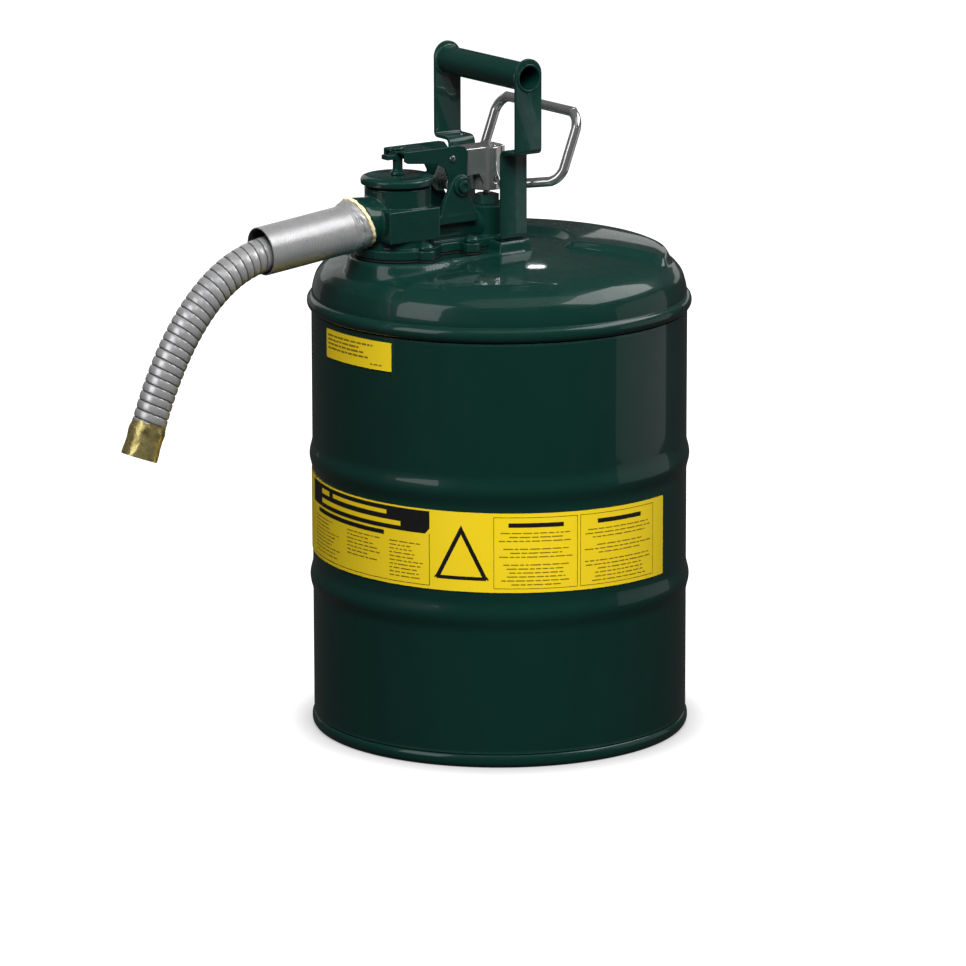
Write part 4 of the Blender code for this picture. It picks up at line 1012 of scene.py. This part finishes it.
def sleeve(steel):
    """The close-wound sleeve, open at its lower end, with painted shade between its windings and inside both
    ends.
    """
    low, high = SLEEVE_SPAN
    per_turn = 8
    count = round((high - low) / SLEEVE_PITCH * per_turn)
    rings, painted_shade = [], []
    for i in range(count + 1):
        along = low + (high - low) * i / count
        ring = []
        for j, (c, s) in enumerate(circle(HOSE_ROUND)):
            turn = (i / per_turn + j / HOSE_ROUND) * math.tau
            wobble = 0.00010 * noise.noise(Vector((c * 2, s * 2, along * 40)))
            radius = SLEEVE_RADIUS - 0.0001 + 0.00006 * math.sin(turn) + wobble
            ring.append(outlet_place(along) @ Vector((radius * c, radius * s, 0)))
            # painted shade on one half of each winding, between the turns
            painted_shade.append(max(0.0, -math.sin(turn)) ** 2 * 0.45)
        rings.append(ring)
    # the inner rings at both ends carry dark painted shade
    for along, radius, dark in ((high + 0.0002, 0.0170, 0), (high, 0.0164, 0.9), (low, 0.0164, 0.9)):
        rings.append(ring_of(outlet_place(along), radius, 0, HOSE_ROUND))
        painted_shade += [dark] * HOSE_ROUND
    piece = add_mesh("wound_sleeve", *bridged(rings, True), [steel], painted_shade=painted_shade)
    return stand_for(piece, "hose_steel", "root", "hose_sleeve")


def cuff(steel):
    """The crumpled bright cuff between the washer and the sleeve, with painted shade in its dents."""
    near = outlet_face_place(0.0014)
    far = outlet_place(SLEEVE_SPAN[0] + 0.0004)
    rows = 22
    rings, painted_shade = [], []
    for i in range(rows + 1):
        t = i / rows
        ring = []
        for c, s in circle(HOSE_ROUND):
            spoke = Vector((c, s, 0))
            first = near @ (spoke * OUTLET_RADIUS)
            last = far @ (spoke * (SLEEVE_RADIUS + 0.0002))
            crumple = noise.noise(Vector((spoke.x * 4, spoke.y * 4, t * 5)))
            crumple += 0.5 * noise.noise(Vector((spoke.x * 11, spoke.y * 11, t * 12)))
            swell = math.sin(t * math.pi) * (0.0004 + 0.0010 * crumple)
            ring.append(first.lerp(last, t) + (far.to_3x3() @ spoke) * swell)
            # painted shade in the dents of the crumple
            painted_shade.append(0.5 * max(0.0, -crumple) * math.sin(t * math.pi))
        rings.append(ring)
    rings += [ring_of(far, 0.0140, 0, HOSE_ROUND), ring_of(near, 0.0168, 0, HOSE_ROUND)]
    painted_shade += [0.0] * 2 * HOSE_ROUND
    piece = add_mesh("crumpled_cuff", *bridged(rings, True), [steel], painted_shade=painted_shade)
    stand_for(piece, "hose_steel", "root", "hose_cuff")


def washer(cream):
    """The uneven fibre washer between the outlet and the cuff."""
    corners = ((0.0168, -0.0017, 0.0002), (0.0194, -0.0017, 0.0008), (0.0194, 0.0010, 0.0008),
               (0.0168, 0.0010, 0.0002))
    piece = turned("fibre_ring", filleted(corners), cream, outlet_face_place(0), HOSE_ROUND)
    for vertex in piece.data.vertices:
        spot = vertex.co * 380
        vertex.co += Vector([noise.noise(spot + Vector((shift, 0, 0))) for shift in (0, 17, 31)]) * 0.0007
    stand_for(piece, "fibre_washer", "root", "hose_gasket")


def tip(metal):
    """The brass pouring tip: thin spun brass crimped over the hose, a little dented, its mouth open."""
    end, before = Vector(HOSE_ROUTE[-1]), Vector(HOSE_ROUTE[-2])
    place = Matrix.Translation(end) @ (end - before).to_track_quat("Z", "Y").to_matrix().to_4x4()
    outline = [(0.0, 0.0008), (0.0118, -0.0006), (0.0122, -0.0010)]
    rows = 30
    for i in range(rows + 1):
        share = i / rows
        swell = 0.0009 * smoothstep(share / 0.22) - 0.0004 * math.sin(share * math.pi) ** 2
        outline.append((0.0122 + swell, TIP_LENGTH * share))
    outline += [(TIP_RADIUS - 0.0005, TIP_LENGTH + 0.0002), (0.0114, TIP_LENGTH)]
    outline += [(0.0110, 0.0030), (0.0, 0.0030)]
    piece = turned("pouring_tip", outline, metal, segments=FINE_ROUND)
    for vertex in piece.data.vertices:
        spot = vertex.co
        near_hose = 1 - smoothstep(spot.z / 0.010)
        dents = noise.noise(spot * 190) * (0.00035 + 0.00030 * near_hose)
        spot.z += near_hose * 0.0010 * noise.noise(Vector((spot.x, spot.y, 0)) * 260)
        spot.xy *= 1 + dents / TIP_RADIUS
    piece.data.transform(place)
    return stand_for(piece, "brass", "root", "brass_tip")


# ---- Labels ----
class Label:
    """A film wrapped round the drum, with ink printed on it, in degrees and metres from its middle."""

    def __init__(self, angles, middles, radius):
        self.angles, self.middles, self.radius = angles, middles, radius
        self.points, self.faces, self.inks = [], [], []

    def spot(self, angle, height, radius):
        share = (angle - self.angles[0]) / (self.angles[1] - self.angles[0])
        middle = self.middles[0] + (self.middles[1] - self.middles[0]) * share
        turn = math.radians(angle)
        return Vector((radius * math.cos(turn), radius * math.sin(turn), middle + height))

    def patch(self, outline_low, outline_high, ink_number, thickness, lift):
        """A thin closed sheet between a lower and an upper line of (angle, height) points."""
        start, count = len(self.points), len(outline_low)
        inner, outer = self.radius + lift, self.radius + lift + thickness
        for low, high in zip(outline_low, outline_high):
            for (angle, height), radius in ((low, inner), (low, outer), (high, outer), (high, inner)):
                self.points.append(self.spot(angle, height, radius))
        for i in range(count - 1):
            a, b = start + i * 4, start + i * 4 + 4
            for k in range(4):
                self.faces.append((a + k, a + (k + 1) % 4, b + (k + 1) % 4, b + k))
        self.faces.append((start, start + 1, start + 2, start + 3))
        end = start + (count - 1) * 4
        self.faces.append((end + 3, end + 2, end + 1, end))
        self.inks += [ink_number] * (len(self.faces) - len(self.inks))

    def bar(self, left, right, low, high, ink_number=BLACK, lift=0.0003, thickness=INK_THICKNESS):
        steps = max(2, math.ceil((right - left) / 1.5) + 1)
        angles = [left + (right - left) * i / (steps - 1) for i in range(steps)]
        self.patch([(a, low) for a in angles], [(a, high) for a in angles], ink_number, thickness, lift)

    def outline(self, left, right, low, high, line):
        """A thin rectangular frame."""
        line_angle = math.degrees(line / self.radius)
        self.bar(left, right, high - line, high)
        self.bar(left, right, low, low + line)
        self.bar(left, left + line_angle, low + line, high - line)
        self.bar(right - line_angle, right, low + line, high - line)

    def rows(self, left, right, tops, row_height, source, centred=False):
        """Rows of short plain bars of chance lengths, as printed rows look from far off."""
        for top in tops:
            room = (right - left) * source.uniform(0.62, 1.0)
            angle = (left + right - room) / 2 if centred else left
            end = angle + room
            while angle < end - 0.4:
                word = min(source.uniform(0.9, 3.4), end - angle)
                self.bar(angle, angle + word, top - row_height, top, GREY)
                angle += word + 0.45

    def finished(self, name, materials, node):
        piece = add_mesh(name, self.points, self.faces, materials, face_materials=self.inks)
        stand_for(piece, "yellow_label", "root", node)


def triangle(label):
    """An outlined triangle with a level base."""
    left, right, low, apex, line = TRIANGLE
    middle = (left + right) / 2
    inset = math.degrees(line / label.radius)
    label.bar(left + inset * 0.6, right - inset * 0.6, low, low + line)
    steps = 12
    for foot in (left, right):
        outer, inner = [], []
        for i in range(steps + 1):
            t = i / steps
            angle = foot + (middle - foot) * t
            outer.append((angle, low + (apex - low) * t))
            inner.append((angle, max(low + line * 0.5, low + (apex - low) * t - line * 2.6)))
        label.patch(inner, outer, BLACK, INK_THICKNESS, 0.00031)


def heading(band, head_low):
    """The dark block with one rounded corner, with plain yellow bars on it and a dark one below."""
    left, right = HEAD_ANGLES
    round_angle, round_height = HEAD_ROUNDING
    steps = 40
    upper, lower = [], []
    for i in range(steps + 1):
        angle = left + (right - left) * i / steps
        past = max(0, angle - (right - round_angle)) / round_angle
        upper.append((angle, BAND_HALF_WIDTH - 0.0012))
        lower.append((angle, head_low + round_height * (1 - math.sqrt(max(0.0, 1 - past**2)))))
    band.patch(lower, upper, BLACK, INK_THICKNESS, FILM_THICKNESS)
    for angles, (deep, shallow) in HEAD_BARS:
        band.bar(*angles, BAND_HALF_WIDTH - deep, BAND_HALF_WIDTH - shallow, YELLOW, 0.00036)
    band.bar(-107.0, -72.0, head_low - 0.0050, head_low - 0.0018)


def wrap_label(materials, source, radius):
    """The band round the drum: a heading over three columns, a triangle and two framed panels."""
    band = Label(BAND_ANGLES, BAND_MIDDLE, radius)
    band.bar(*BAND_ANGLES, -BAND_HALF_WIDTH, BAND_HALF_WIDTH, YELLOW, 0.0, FILM_THICKNESS)
    head_low = BAND_HALF_WIDTH - HEAD_DEPTH
    heading(band, head_low)
    for left, right, count in COLUMNS:
        tops = [head_low - 0.0080 - 0.0028 * k for k in range(count)]
        band.rows(left, right, tops, PRINT_HEIGHT, source)
    left, right = HEAD_ANGLES
    band.bar(right - math.degrees(0.00045 / band.radius), right, -PANEL_EDGE, head_low)
    band.bar(left, right, -PANEL_EDGE - 0.0004, -PANEL_EDGE)
    triangle(band)
    for left, right in PANELS:
        band.outline(left, right, -PANEL_EDGE, PANEL_EDGE, 0.00035)
        centre = (left + right) / 2
        band.bar(centre - 8.4, centre + 8.4, 0.0188, 0.0220)
        tops = [0.0150 - 0.0029 * k for k in range(14) if k not in (3, 7)]
        band.rows(left + 1.4, right - 1.4, tops, PRINT_HEIGHT, source, centred=True)
    band.finished("wrap_label", materials, "label_band")


def small_label(materials, source, radius):
    """The plate above the band, with four rows and a short one at its corner."""
    plate = Label(PLATE_ANGLES, (PLATE_MIDDLE, PLATE_MIDDLE), radius)
    plate.bar(*PLATE_ANGLES, -PLATE_HALF_WIDTH, PLATE_HALF_WIDTH, YELLOW, 0.0, FILM_THICKNESS)
    left, right = PLATE_ANGLES
    plate.rows(left + 1.2, right - 4.0, [0.0072 - 0.0031 * k for k in range(4)], 0.0013, source)
    plate.rows(right - 8.0, right - 1.5, [-0.0064], 0.0009, source)
    plate.finished("small_label", materials, "label_plate")


def labels(materials):
    source = random.Random(7)
    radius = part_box("body_shell")[1].x - WALL_INSET + 0.0003
    wrap_label(materials, source, radius)
    small_label(materials, source, radius)


# ---- Scene ----
def repaint(material, *nodes):
    """Gives CAD nodes that stay in view a procedural material."""
    for node in nodes:
        slots = frame["nodes"][node].data.materials
        slots.clear()
        slots.append(material)


def main():
    bpy.context.scene.view_settings.view_transform = "Standard"
    make_camera()
    make_world()
    make_lights()
    make_floor()

    paint = enamel("green_enamel")
    cast_paint = enamel("green_cast_enamel", cast=True)
    chrome = plating("chrome")
    strip = hose_metal("hose_strip")
    steel = plain_steel("bright_steel")
    metal = brass("brass")
    seal = rubber("seal_rubber")
    cream = fibre("cream_fibre")

    tube, route, length = hose(strip)
    wound = sleeve(strip)
    mouth = tip(metal)
    cuff(strip)
    washer(cream)

    drum_wall(paint)
    drum_bottom(paint)
    domed_top(paint)
    for side, word in SIDES:
        bar_handle(side, word, paint)
    grip(paint)
    manifold(cast_paint)
    trigger(chrome, steel)
    cap(paint, cast_paint, steel)
    closing_spring(steel)
    labels([
        printed("yellow_film", (0.900, 0.640, 0.010), (0.955, 0.700, 0.022), 24.0, 90.0, 0.52),
        printed("black_ink", (0.006, 0.006, 0.006), (0.012, 0.012, 0.012), 260.0, 120.0, 0.55),
        printed("small_print_ink", (0.17, 0.115, 0.008), (0.30, 0.21, 0.014), 260.0, 120.0, 0.55),
    ])
    repaint(cast_paint, "gland_nut", "pivot_nut")
    repaint(steel, "hose_adapter", "fill_flame_arrester", "pour_flame_arrester", "cap_spring")
    repaint(chrome, "valve_rod")
    repaint(metal, "valve_disc")
    repaint(seal, "manifold_gasket", "valve_seal", "fill_cap_gasket")


main()
